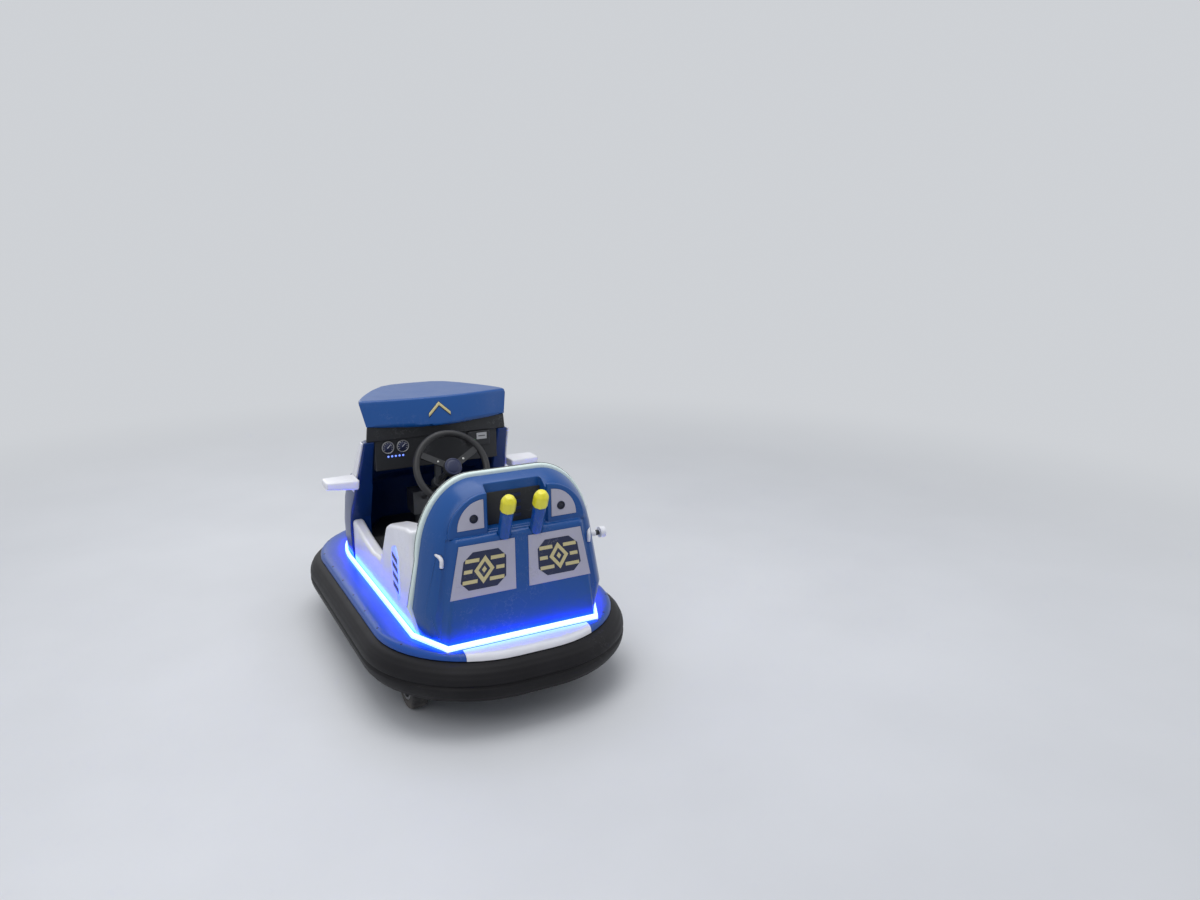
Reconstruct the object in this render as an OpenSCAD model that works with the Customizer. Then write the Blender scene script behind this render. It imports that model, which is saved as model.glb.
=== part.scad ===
/* [Overall] */
// Length over the bumper, nose to tail
overall_l = 1650; // [1600:10:1750]
// Width over the bumper
overall_w = 980; // [940:10:1040]

/* [Bumper] */
// Height of the rubber bumper
bumper_h = 142; // [130:2:150]
// How far the rubber stands out from its steel band
bumper_d = 72; // [60:2:80]
// Height of the bumper's underside above the floor
bumper_z = 118; // [110:1:122]
// Plan radius of the bumper's two tail corners
tail_corner_r = 430; // [410:5:450]
// Plan radius of the bumper's two nose corners
nose_corner_r = 430; // [400:5:450]
// Width of the groove round the middle of the rubber
groove_w = 14; // [8:1:20]
// Thickness of the steel band behind the rubber
band_t = 4; // [3:0.5:6]

/* [Deck] */
// How far the deck laps over the top of the rubber
deck_lap = 25; // [18:1:30]
// Rise of the deck from the bumper to the foot of the body
deck_rise = 26; // [20:1:32]
// Thickness of the deck moulding
deck_t = 8; // [5:1:10]
// Width of the deck ring that the body stands on, inside the light strip
deck_ledge = 35; // [28:1:45]
// Width of the light strip
light_w = 14; // [12:1:18]
// Height that the light strip stands above the deck
light_h = 18; // [12:1:24]
// Depth of the strip's channel in the deck
light_seat = 3; // [2:0.5:4]
// Thickness of the white insert panels on the deck
insert_t = 3; // [2:0.5:4]

/* [Body] */
// Width of the deck at the sides, from the bumper's face to the body
side_deck_w = 155; // [145:1:170]
// Depth of the deck at the tail, from the bumper's face to the body
tail_deck_w = 145; // [138:1:160]
// Depth of the deck at the nose, from the bumper's face to the body
nose_deck_w = 160; // [150:1:175]
// Thickness of the white side mouldings at the sill
sill_t = 46; // [36:1:56]
// Thickness of the arm boxes beside the seat
arm_t = 84; // [70:1:95]
// Height of the lowest point of the sill above the deck
sill_h = 136; // [110:1:160]
// Height of the arm boxes above the deck, at the seat back
arm_h = 372; // [320:1:400]

/* [Tail shell] */
// Depth of the tail shell at its foot, behind the seat back panel
tail_shell_d = 135; // [120:1:160]
// Height of the seat back panel's top edge above the floor
rim_top_z = 840; // [800:1:870]
// How far the seat back panel stands out past the side bodies
rim_lap = 25; // [15:1:35]
// How far the seat back panel stands out past the tail shell
rim_lip = 12; // [6:1:18]
// Thickness of the seat back panel
rim_t = 25; // [18:1:32]
// Forward lean of the tail face
tail_lean = 1; // [0:0.5:4]
// Height of the ledge on the tail face above the deck
ledge_h = 368; // [340:1:390]
// How far the upper tail face lies in from the lower one
upper_step = 32; // [24:1:40]
// Half width of the recess between the two upper panels
recess_hw = 105; // [95:1:112]
// Depth of that recess
recess_d = 42; // [36:1:50]
// Thickness of the silver panels
panel_t = 4; // [3:0.5:6]
// Distance of the tail posts from the middle
post_x = 58; // [54:1:66]
// Radius of the tail posts
post_r = 23; // [20:1:28]
// How far the tail posts lean back, as an angle
post_lean = 22; // [15:1:28]

/* [Seat] */
// Height of the seat's top board above the floor
seat_z = 375; // [355:1:390]
// Depth of the seat board, front to back
seat_d = 400; // [370:1:420]
// Thickness of the seat cushion
cushion_t = 72; // [50:1:90]
// Thickness of the back pad
back_pad_t = 62; // [45:1:75]
// Wall of the moulded boxes inside the body
wall = 8; // [5:1:10]

/* [Cowl] */
// Length of the nose cowl at the deck
cowl_l = 380; // [350:1:400]
// Height of the bonnet above the floor
bonnet_z = 628; // [600:1:650]
// Height of the cowl's top, under the visor
cowl_top_z = 812; // [790:1:830]
// Thickness of the cowl's hollow side walls
cowl_wall = 78; // [60:1:84]
// Backward slope of the cockpit edge, as a rise of one along y for this much z
cowl_slope = 2.5; // [2:0.1:3.5]
// Height of the black instrument band under the visor
dash_h = 62; // [50:1:70]
// Height of the visor at its back
visor_h = 100; // [80:1:110]
// Half width of the visor at its top
visor_hw = 305; // [290:1:312]
// Length of the visor, back to front
visor_l = 325; // [280:5:340]
// How far the middle of the visor's back bulges towards the rider
visor_bulge = 42; // [0:2:50]
// How far the stub wings reach out from the cheek panels
wing_reach = 122; // [90:1:140]
// Thickness of the stub wings
wing_t = 36; // [28:1:44]

/* [Running gear] */
// Radius of all three tyres
wheel_r = 100; // [95:1:102]
// Width of all three tyres
tyre_w = 56; // [44:1:60]
// Radius of the rear axle
rear_axle_r = 12.5; // [10:0.5:14]
// Radius of the front axle
front_axle_r = 10; // [8:0.5:12]
// Distance of the rear axle from the body's tail face
rear_axle_in = 215; // [205:5:230]
// Distance of the drive fork's pivot from the body's nose
fork_in = 245; // [235:1:255]
// Radius of the fork's stem
stem_r = 15; // [12:0.5:18]
// Running clearance round shafts and axles
run_gap = 0.05; // [0.02:0.01:0.08]
// Width of the square chassis tubes
tube_w = 30; // [25:1:34]
// Radius of the holes in the two lashing eyes
eye_r = 9; // [7:0.5:9]
// Thickness of the lashing eyes
eye_t = 8; // [6:1:12]

/* [Steering] */
// Radius of the steering wheel to the middle of its grip
wheel_ring_r = 142; // [135:1:150]
// Radius of the steering wheel's grip
grip_r = 14; // [11:0.5:16]
// Slope of the steering column above level
column_slope = 30; // [26:1:34]
// Distance from the fork's pivot back to the steering wheel
column_back = 425; // [405:1:440]
// Radius of the steering column
column_r = 12.5; // [10:0.5:14]

/* [Hidden] */
$fn = 64;
CORNER_N = 14;
NOSE_N = 28;
SKIN = 0.02;
SEAT_GAP = 0.3;

// Heights that other pieces stand on
chassis_z = 114;
eye_drop = 34;
floor_z = chassis_z + tube_w;
edge_z = bumper_z + bumper_h + 1;
deck_z = edge_z + deck_rise;

// Plan limits of the body's foot
body_hw = overall_w / 2 - side_deck_w;
tail_y = overall_l / 2 - tail_deck_w;
nose_y = -(overall_l / 2 - nose_deck_w);
deck_inset = bumper_d - deck_lap;
chamfer_l = 150;
chamfer_w = 66;

// Seat and tail stations along y
rim_hw = body_hw + rim_lap;
rim_y = tail_y - tail_shell_d;
panel_y = rim_y - rim_t;
seat_front_y = panel_y - seat_d;
seat_hw = body_hw - arm_t - SEAT_GAP;
tub_hw = body_hw - sill_t - SEAT_GAP;
pad_hw = seat_hw - 19;

// Cowl stations along y
cowl_back_y = nose_y + cowl_l;
cowl_mid_y = nose_y + 375;
cover_back_y = cowl_back_y + 22;
sill_front_h = sill_h + 46;
dash_back_y = cowl_back_y + (cowl_top_z - deck_z - sill_front_h) / cowl_slope;
dash_top_z = cowl_top_z + dash_h;

// Running gear
axle_y = tail_y - rear_axle_in;
fork_y = nose_y + fork_in;
track_hw = body_hw;
rail_x = body_hw - 65;
front_cross_y = nose_y + 85;
back_cross_y = fork_y + 125;
tail_cross_y = tail_y - 60;
front_post_x = 100;
back_post_x = 165;
crown_z = 2 * wheel_r + 12;
crown_t = 10;
plate_z = crown_z + crown_t + 6;
plate_t = 10;
gear_z = deck_z + 179;
gearbox_z = gear_z - 50;

// Steering column: a line from the pivot's gearbox up to the wheel
column_l = column_back / cos(column_slope);

// Points along an elliptical arc from angle a0 to a1
function arc(cx, cy, rx, ry, a0, a1, n) =
    [for (i = [0:n]) let (a = a0 + (a1 - a0) * i / n) [cx + rx * cos(a), cy + ry * sin(a)]];

// Signed power, for the full curve of the nose
function spow(v, p) = sign(v) * pow(abs(v), p);

// Plan outline of the bumper, drawn in by inset from its outer face
function bumper_outline(inset) = let (
    tx = overall_w / 2 - tail_corner_r, ty = overall_l / 2 - tail_corner_r, tr = tail_corner_r - inset,
    nx = overall_w / 2 - nose_corner_r, ny = overall_l / 2 - nose_corner_r, nr = nose_corner_r - inset)
    concat(arc(tx, ty, tr, tr, 0, 90, CORNER_N), arc(-tx, ty, tr, tr, 90, 180, CORNER_N),
           arc(-nx, -ny, nr, nr, 180, 270, CORNER_N), arc(nx, -ny, nr, nr, 270, 360, CORNER_N));

// Half of a full-nosed plan curve, from +hw round the front to -hw
function nose_curve(hw, mid_y, front_y, n) =
    [for (i = [0:NOSE_N]) let (a = -180 * i / NOSE_N)
        [hw * spow(cos(a), 2 / n), mid_y + (mid_y - front_y) * spow(sin(a), 2 / n)]];

// Plan outline of the body's foot, grown outwards by grow
function body_outline(grow) = let (hw = body_hw + grow, t = tail_y + grow)
    concat(nose_curve(hw, cowl_mid_y, nose_y - grow, 2.5),
           [[-hw, tail_y - chamfer_l + 0.2 * grow], [-body_hw + chamfer_w - 0.65 * grow, t],
            [body_hw - chamfer_w + 0.65 * grow, t], [hw, tail_y - chamfer_l + 0.2 * grow]]);

// Seat back panel: half width of its level top, height of its round shoulders, how far its sides draw in
rim_flat = 120;
rim_round = 280;
rim_draw = 33;
rim_side_z = deck_z + 113;

// Outline of the seat back panel, in x and z, grown outwards by grow
function rim_outline(grow) = let (z = rim_top_z - rim_round, side = rim_hw - rim_draw - rim_flat + grow)
    let (foot = body_hw + min(grow, 0))
    concat([[foot, deck_z], [foot, deck_z + light_h + 3], [rim_hw + grow, rim_side_z]],
           arc(rim_flat, z, side, rim_round + grow, 0, 90, 16),
           arc(-rim_flat, z, side, rim_round + grow, 90, 180, 16),
           [[-rim_hw - grow, rim_side_z], [-foot, deck_z + light_h + 3], [-foot, deck_z]]);

// Thin plan slice standing on a height
module slice(points, z) {
    translate([0, 0, z]) linear_extrude(SKIN) polygon(points);
}

// Thin upright slice of an x, z outline at a place along y
module upright_slice(points, y) {
    translate([0, y + SKIN / 2, 0]) rotate([90, 0, 0]) linear_extrude(SKIN) polygon(points);
}

// Plate of an x, z outline from y0 back to y1
module upright_plate(points, y0, y1) {
    translate([0, y1, 0]) rotate([90, 0, 0]) linear_extrude(y1 - y0) polygon(points);
}

// Plate of a y, z outline from x0 out to x1
module side_plate(points, x0, x1) {
    translate([x0, 0, 0]) rotate([90, 0, 90]) linear_extrude(x1 - x0) polygon(points);
}

module both_sides() {
    children();
    mirror([1, 0, 0]) children();
}

// Frame of the leaning tail face: x across, y out of the face, z up it
module tail_frame() {
    translate([0, tail_y, deck_z]) rotate([tail_lean, 0, 0]) children();
}

// Bumper section: x out from the band, y up, with a groove half way up
function bumper_section() = let (lo = 60, hi = 62, mid = bumper_h / 2, d = bumper_d, g = groove_w / 2)
    concat([[0, 0]], arc(d - lo, lo, lo, lo, -90, 0, 8),
           [[d, mid - g], [d - 6, mid - g / 2], [d - 6, mid + g / 2], [d, mid + g]],
           arc(d - hi, bumper_h - hi, hi, hi, 0, 90, 10), [[0, bumper_h]]);

// Centres of the bumper's corner curves, tail and nose
tail_c = [overall_w / 2 - tail_corner_r, overall_l / 2 - tail_corner_r];
nose_c = [overall_w / 2 - nose_corner_r, overall_l / 2 - nose_corner_r];

// Straight run of a ring section along y
module ring_bar(section, length) {
    rotate([90, 0, 0]) translate([0, 0, -length]) linear_extrude(length) polygon(section);
}

module ring_corner(section, r) {
    rotate_extrude(angle = 90) translate([r, 0]) polygon(section);
}

// Ring all round the car of a section whose x is 0 at the bumper's outer face
module bumper_sweep(section) {
    both_sides() {
        translate([overall_w / 2, -nose_c[1], 0]) ring_bar(section, tail_c[1] + nose_c[1]);
        translate([tail_c[0], tail_c[1], 0]) ring_corner(section, tail_corner_r);
        translate([nose_c[0], -nose_c[1], 0]) rotate([0, 0, -90]) ring_corner(section, nose_corner_r);
    }
    translate([tail_c[0], overall_l / 2, 0]) rotate([0, 0, 90]) ring_bar(section, 2 * tail_c[0]);
    translate([-nose_c[0], -overall_l / 2, 0]) rotate([0, 0, -90]) ring_bar(section, 2 * nose_c[0]);
}

module bumper_ring() {
    color("#1b1b1d") translate([0, 0, bumper_z])
        bumper_sweep([for (p = bumper_section()) [p[0] - bumper_d, p[1]]]);
}

module bumper_band() {
    lo = bumper_z + 4;
    color("#4a4d52") bumper_sweep([[-bumper_d - band_t, lo], [-bumper_d, lo], [-bumper_d, edge_z],
                                   [-bumper_d - band_t, edge_z]]);
}

module box_between(lo, hi) {
    translate(lo) cube(hi - lo);
}

// The frame's square tubes, welded end to side, each kind a piece of its own
module chassis_rails() {
    half = tube_w / 2;
    color("#34373c") both_sides()
        box_between([rail_x - half, front_cross_y - half, chassis_z],
                    [rail_x + half, tail_cross_y + half, floor_z]);
}

module chassis_crossbars() {
    half = tube_w / 2;
    color("#34373c") for (y = [front_cross_y, back_cross_y, seat_front_y, tail_cross_y])
        box_between([half - rail_x, y - half, chassis_z], [rail_x - half, y + half, floor_z]);
}

module chassis_outriggers() {
    half = tube_w / 2;
    band_x = overall_w / 2 - bumper_d - band_t;
    band_y = overall_l / 2 - bumper_d - band_t;
    color("#34373c") both_sides() {
        for (y = [fork_y + 90, seat_front_y - 60, seat_front_y + 180])
            box_between([rail_x + half, y - half, chassis_z], [band_x, y + half, floor_z]);
        box_between([tail_c[0] - 10 - tube_w, tail_cross_y + half, chassis_z],
                    [tail_c[0] - 10, band_y, floor_z]);
        box_between([nose_c[0] - 5 - tube_w, -band_y, chassis_z],
                    [nose_c[0] - 5, front_cross_y - half, floor_z]);
    }
}

module turntable_posts() {
    half = tube_w / 2;
    color("#34373c") both_sides() for (p = [[front_post_x, front_cross_y], [back_post_x, back_cross_y]])
        box_between([p[0] - half, p[1] - half, floor_z], [p[0] + half, p[1] + half, plate_z]);
}

module lashing_eyes() {
    outer_r = eye_r + 9;
    color("#8d9095") for (y = [front_cross_y, tail_cross_y])
        translate([-eye_t / 2, y, chassis_z - eye_drop]) rotate([0, 90, 0]) difference() {
            union() {
                cylinder(h = eye_t, r = outer_r);
                translate([-eye_drop, -outer_r, 0]) cube([eye_drop, 2 * outer_r, eye_t]);
            }
            translate([0, 0, -1]) cylinder(h = eye_t + 2, r = eye_r);
        }
}

// Deck sections, from the edge inwards: height above the edge, inset from it
DECK_SECTIONS = [[0, 0], [20, 1], [33, 6], [41, 14], [44, 30]];

module deck_hull(drop, inset) {
    hull() for (s = DECK_SECTIONS)
        slice(bumper_outline(deck_inset + inset + s[1]), edge_z + s[0] * (deck_rise - SKIN) / 44 - drop);
}

module deck() {
    color("#1c4fae") difference() {
        deck_hull(0, 0);
        difference() {
            deck_hull(deck_t, deck_lap + band_t / 2);
            translate([0, 0, deck_z - deck_t]) linear_extrude(deck_t) polygon(bumper_outline(deck_inset));
        }
        translate([0, 0, edge_z - 1]) linear_extrude(deck_rise + 2) polygon(body_outline(-deck_ledge));
        translate([0, 0, deck_z - light_seat]) linear_extrude(deck_rise) difference() {
            polygon(body_outline(light_w + 2));
            polygon(body_outline(2));
        }
        deck_insert_cut(1, 0);
        deck_insert_cut(-1, 0);
    }
}

// Block of space that an insert panel takes out of the deck's top
module deck_insert_cut(end, shy) {
    edge = overall_l / 2 - deck_inset;
    hw = end > 0 ? tail_c[0] + 170 : nose_c[0] + 110;
    depth = edge - light_w - (end > 0 ? tail_y + 7 : 25 - nose_y);
    intersection() {
        difference() {
            deck_hull(0, 0);
            deck_hull(insert_t - shy, insert_t - shy);
        }
        translate([0, end * edge, deck_z])
            cube([2 * (hw - shy), 2 * (depth - shy), 2 * deck_rise], center = true);
    }
}

module deck_insert_rear() { color("#e8e8f2") deck_insert_cut(1, SEAT_GAP); }
module deck_insert_front() { color("#e8e8f2") deck_insert_cut(-1, SEAT_GAP); }

module light_strip() {
    color("#bfe8ff") translate([0, 0, deck_z - light_seat]) linear_extrude(light_seat + light_h)
        difference() {
            polygon(body_outline(light_w + 2));
            polygon(body_outline(2));
        }
}

// Room for the light strip in the pieces that stand over it
module light_room() {
    translate([0, 0, deck_z - 1]) linear_extrude(light_h + 1 + SEAT_GAP) difference() {
        polygon(body_outline(light_w + 2 + SEAT_GAP));
        polygon(body_outline(2 - SEAT_GAP));
    }
}

module floor_pan() {
    color("#2a2c30")
        box_between([-tub_hw, cover_back_y + 2, floor_z], [tub_hw, panel_y + 20, floor_z + wall]);
}

module footwell_tub() {
    hw = tub_hw;
    top = deck_z + sill_h - 24;
    y0 = cover_back_y + 2;
    y1 = seat_front_y - 1;
    color("#14264f") difference() {
        box_between([-hw, y0, floor_z + wall], [hw, y1, top]);
        box_between([wall - hw, y0 - 1, floor_z + wall - 1], [hw - wall, y1 + 1, top + 1]);
    }
}

// Plan outline of the cover over the drive unit, drawn in by inset
function cover_outline(inset) = let (back = cover_back_y - inset, front = nose_y + 60 + inset)
    let (hw = rail_x - 30 - inset, nose_hw = front_post_x + 30 - inset / 2)
    [[hw, back], [hw, fork_y], [nose_hw, front], [-nose_hw, front], [-hw, fork_y], [-hw, back]];

// Solid form of the cover, drawn in by inset, upright behind the turntable plate and sloped above it
module cover_form(inset, drop) {
    top = gearbox_z - 60 - inset;
    knee = plate_z + plate_t + 16 - inset / 2;
    back = cover_back_y - inset;
    intersection() {
        translate([0, 0, floor_z - drop]) linear_extrude(top - floor_z + drop) polygon(cover_outline(inset));
        side_plate([[nose_y, floor_z - drop], [back, floor_z - drop], [back, knee], [back - 90, top],
                    [nose_y, top]], -overall_w, overall_w);
    }
}

module drive_cover() {
    color("#202226") difference() {
        cover_form(0, 0);
        cover_form(wall, 1);
        translate([0, fork_y, gearbox_z - 60 - wall - 1]) cylinder(h = wall + 2, r = stem_r + 20);
    }
}

// Sill and arm box side profile, from the foot at the cowl round to the seat back
function side_profile(with_sill) = let (sill_l = seat_front_y - cowl_back_y) concat(
    with_sill ? [[cowl_back_y + 1, deck_z]] : [[seat_front_y + 4, deck_z]],
    [[panel_y, deck_z], [panel_y, deck_z + arm_h], [panel_y - 60, deck_z + arm_h - 4],
     [seat_front_y + 142, deck_z + arm_h - 50], [seat_front_y + 104, deck_z + arm_h - 68],
     [seat_front_y + 84, deck_z + arm_h - 98], [seat_front_y + 4, deck_z + sill_h + 12]],
    with_sill ? [[seat_front_y - 0.3 * sill_l, deck_z + sill_h],
                 [seat_front_y - 0.64 * sill_l, deck_z + sill_h + 16],
                 [cowl_back_y + 1, deck_z + sill_front_h]] : []);

module side_body(side) {
    lamp = side_lamp_box();
    color("#e9e9ef") mirror([side > 0 ? 0 : 1, 0, 0]) difference() {
        union() {
            side_plate(side_profile(true), body_hw - sill_t, body_hw);
            side_plate(side_profile(false), body_hw - arm_t, body_hw - 10);
        }
        side_plate(lamp, body_hw - 14, body_hw + 1);
    }
}

module side_body_left() { side_body(1); }
module side_body_right() { side_body(-1); }

// Outline of the slender upright side lamp, in y and z
function side_lamp_box() = let (y = seat_front_y + 195, z = deck_z + 62)
    [[y + 26, z], [y + 48, z + 24], [y + 48, z + 170], [y + 26, z + 200], [y - 14, z + 188],
     [y - 34, z + 130], [y - 14, z + 50]];

module side_lamps() {
    color("#3355ff") both_sides() side_plate(side_lamp_box(), body_hw - 14, body_hw + 2);
}

module seat_back_panel() {
    color("#dfeee8") difference() {
        upright_plate(rim_outline(0), panel_y, rim_y);
        marker_frame() cylinder(h = 60, r = marker_r + SEAT_GAP);
        light_room();
    }
}

module lower_block() {
    r = 18;
    top = ledge_h / cos(tail_lean);
    hull() {
        intersection() {
            upright_slice(rim_outline(-rim_lip), rim_y + SKIN / 2);
            box_between([-overall_w, rim_y - 1, 0], [overall_w, rim_y + 1, deck_z + ledge_h]);
        }
        tail_frame() both_sides() {
            translate([body_hw - chamfer_w - 3 - r, -r, 14]) cylinder(h = SKIN, r = r, $fn = 24);
            translate([body_hw - 103 - r, -r, top]) sphere(r = 0.5, $fn = 12);
            translate([body_hw - 99 - r, -r, top - 14]) sphere(r = r, $fn = 20);
        }
        box_between([chamfer_w - body_hw, tail_y - 30, deck_z], [body_hw - chamfer_w, tail_y, deck_z + 1]);
    }
}

// Upper tail shell sections: depth in front of the upper face, shrink of the rim outline
UPPER_SECTIONS = [[0, 62], [8, 48], [30, 32], [70, 16]];

module upper_shell() {
    hull() {
        upright_slice(rim_outline(-rim_lip), rim_y + SKIN / 2);
        tail_frame() for (s = UPPER_SECTIONS)
            translate([0, 0, -deck_z]) upright_slice(rim_outline(-s[1]), -upper_step - s[0]);
    }
}

// Quarter disc standing on the ledge, in the tail frame, for one upper panel
module quarter_disc(r, x, z) {
    points = concat([[x, z]], arc(x, z, r, r, 0, 90, 16));
    rotate([90, 0, 0]) linear_extrude(12) polygon(points);
}

function lower_panel(inset) = let (lo = 168 + inset, hi = ledge_h - 20 - inset)
    let (hw = body_hw - chamfer_w - 11)
    [[24 + inset, lo], [hw - inset * 1.2, lo], [hw - 37 - inset, hi], [24 + inset, hi]];

function upper_panel(inset) = concat([[122 + inset, ledge_h + 24 + inset]],
    arc(122 + inset, ledge_h + 24 + inset, 94 - 2 * inset, 98 - 2 * inset, 0, 90, 12));

recess_h = 148;
RECESS = [[-recess_hw, 0], [recess_hw, 0], [recess_hw, recess_h - 8], [recess_hw - 8, recess_h],
          [8 - recess_hw, recess_h], [-recess_hw, recess_h - 8]];

module tail_shell() {
    color("#1d4fa0") difference() {
        union() {
            lower_block();
            upper_shell();
            tail_frame() both_sides() translate([0, -upper_step + 12 - 0.5, 0])
                quarter_disc(140, 108, ledge_h + 2);
        }
        box_between([-overall_w, 0, deck_z - 50], [overall_w, overall_l, deck_z]);
        both_sides() handle(handle_r + SEAT_GAP);
        post_line() translate([0, 0, -post_foot - SEAT_GAP]) post_bar(post_r + SEAT_GAP, post_l);
        light_room();
        tail_frame() {
            both_sides() {
                upright_plate(lower_panel(0), -panel_t / 2, 5);
                upright_plate(upper_panel(0), 11 - upper_step - panel_t / 2, 40 - upper_step);
            }
            translate([0, 0, ledge_h + 12]) upright_plate(RECESS, -upper_step - recess_d, 20);
        }
    }
}

module lower_panels() {
    color("#b9bccb") tail_frame() both_sides() upright_plate(lower_panel(0.4), -panel_t / 2, panel_t / 2);
}

module upper_panels() {
    color("#b9bccb") tail_frame() both_sides()
        upright_plate(upper_panel(0.4), 11 - upper_step - panel_t / 2, 11 - upper_step + panel_t / 2);
}

module recess_lining() {
    color("#101319") tail_frame() translate([0, 0, ledge_h + 12])
        upright_plate([[2 - recess_hw, 2], [recess_hw - 2, 2], [recess_hw - 2, recess_h - 34],
                       [2 - recess_hw, recess_h - 34]],
                      -upper_step - recess_d, -upper_step - recess_d + 4);
}

// Lengths of a tail post from the ledge: down into its socket, up to its cap, and up to the cap's top
post_foot = 14;
post_l = 92;
cap_l = 150;

// Frames of the two tail posts: z up along the post from the ledge, leaning back
module post_line() {
    tail_frame() both_sides() translate([post_x, -8, ledge_h]) rotate([-post_lean, 0, 0]) children();
}

module post_bar(r, l) {
    rotate([0, 0, 22.5]) cylinder(h = l, r = r, $fn = 8);
}

module tail_posts() {
    color("#1d4fa0") post_line() translate([0, 0, -post_foot]) post_bar(post_r, post_l + post_foot);
}

module tail_caps() {
    color("#f2e53a") post_line() translate([0, 0, post_l]) rotate([0, 0, 22.5]) {
        cylinder(h = cap_l - post_l - 16, r = post_r + 4, $fn = 8);
        translate([0, 0, cap_l - post_l - 16]) cylinder(h = 16, r1 = post_r + 4, r2 = post_r - 8, $fn = 8);
    }
}

// Bent bar on the shell's side: its three corners, left side
HANDLE = [[body_hw - 46, rim_y + 47, deck_z + 320], [body_hw - 66, rim_y + 102, deck_z + 310],
          [body_hw - 65, rim_y + 96, deck_z + 275]];
handle_r = 7;

module handle(r) {
    for (i = [0, 1]) hull() for (p = [HANDLE[i], HANDLE[i + 1]])
        translate(p) sphere(r = r, $fn = 16);
}

module grab_handles() { color("#f2f5f8") both_sides() handle(handle_r); }

marker_r = 11;
marker_z = deck_z + 258;

// Frame of the marker lamp: z out of a flat seat in the panel's right edge
module marker_frame() {
    edge_x = rim_hw - rim_draw * (marker_z - rim_side_z) / (rim_top_z - rim_round - rim_side_z);
    translate([3 - edge_x, panel_y + rim_t / 2, marker_z]) rotate([0, -90, 0]) children();
}

module marker_lamp() {
    color("#e6e6f0") marker_frame() {
        cylinder(h = 26, r = marker_r);
        cylinder(h = 46, r = 8);
        translate([0, 0, 44]) cylinder(h = 20, r = 20);
    }
}

module seat_base() {
    color("#17233f") difference() {
        box_between([-seat_hw, seat_front_y, floor_z + wall], [seat_hw, panel_y - SEAT_GAP, seat_z]);
        box_between([wall - seat_hw, seat_front_y + wall, floor_z + wall - 1],
                    [seat_hw - wall, panel_y - wall, seat_z - wall - 2]);
    }
}

module seat_cushion() {
    color("#17181b") box_between([4 - seat_hw, seat_front_y - 6, seat_z + SEAT_GAP],
                                 [seat_hw - 4, panel_y - back_pad_t - 4, seat_z + cushion_t]);
}

module seat_back_pad() {
    color("#17181b") upright_plate(
        concat([[pad_hw, seat_z + 10], [pad_hw, rim_top_z - 238]],
               arc(pad_hw - 152, rim_top_z - 200, 140, 150, 0, 90, 8),
               arc(152 - pad_hw, rim_top_z - 200, 140, 150, 90, 180, 8),
               [[-pad_hw, rim_top_z - 238], [-pad_hw, seat_z + 10]]),
        panel_y - back_pad_t, panel_y - SEAT_GAP);
}

module seat_belt() {
    w = 40;
    top = seat_z + cushion_t;
    color("#0d0d0f") {
        box_between([-seat_hw + 10, panel_y - 190, top + 0.5], [seat_hw - 10, panel_y - 190 + w, top + 3.5]);
    }
}

module battery_pack() {
    color("#3b3f45") both_sides()
        box_between([8, seat_front_y + 22, floor_z + wall],
                    [seat_hw - 72, seat_front_y + seat_d - 15, seat_z - 23]);
}

// Cowl sections: height above the floor, half width, nose y and, where it isn't the usual one, the y of the
// widest place
COWL_LOW = [[deck_z, body_hw, nose_y], [deck_z + light_h + 3, body_hw, nose_y],
            [deck_z + 60, body_hw + 7, nose_y - 4], [deck_z + 135, body_hw + 9, nose_y],
            [deck_z + 235, body_hw + 3, nose_y + 24], [bonnet_z - 24, body_hw - 10, nose_y + 76],
            [bonnet_z - 6, body_hw - 20, nose_y + 104], [bonnet_z, body_hw - 34, nose_y + 130]];
COWL_HIGH = [[bonnet_z - 40, body_hw - 12, nose_y + 150], 
             [cowl_top_z, body_hw - 33, dash_back_y - 95, dash_back_y - 25]];

// Loft through a table of sections, each drawn in by inset, with a straight back at back_y
module cowl_loft(sections, inset, back_y) {
    hull() for (s = sections) let (hw = s[1] - inset)
        slice(concat(nose_curve(hw, is_undef(s[3]) ? cowl_mid_y : s[3], s[2] + inset, 2.6),
                     [[-hw, back_y], [hw, back_y]]), s[0]);
}

// All that lies in front of the sloping cockpit edge
module ahead_of_cockpit() {
    z0 = deck_z + sill_front_h;
    side_plate([[nose_y - 100, deck_z], [cowl_back_y, deck_z], [cowl_back_y, z0],
                [dash_back_y, cowl_top_z], [nose_y - 100, cowl_top_z]], -overall_w, overall_w);
}

module front_cowl() {
    back = cowl_back_y + 160;
    color("#163f8c") intersection() {
        difference() {
            union() {
                cowl_loft(COWL_LOW, 0, back);
                cowl_loft(COWL_HIGH, 0, back);
            }
            hull() for (s = [[deck_z - 1, 0], [deck_z + 235, 0], [bonnet_z - 30, 40]]) slice(
                concat(nose_curve(body_hw - cowl_wall, cowl_mid_y, nose_y + 26 + s[1] * 2.4, 2.5),
                       [[cowl_wall - body_hw, back + 1], [body_hw - cowl_wall, back + 1]]), s[0]);
            hull() for (s = [[bonnet_z - 60, cowl_mid_y + 60, nose_y + 178],
                             [cowl_top_z + 1, dash_back_y - 41, dash_back_y - 73]]) slice(
                concat(nose_curve(body_hw - cowl_wall, s[1], s[2], 2.5),
                       [[cowl_wall - body_hw, back + 1], [body_hw - cowl_wall, back + 1]]), s[0]);
            lamp_frame() cylinder(h = 60, r = lamp_r + SEAT_GAP);
            light_room();
        }
        ahead_of_cockpit();
    }
}

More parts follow.
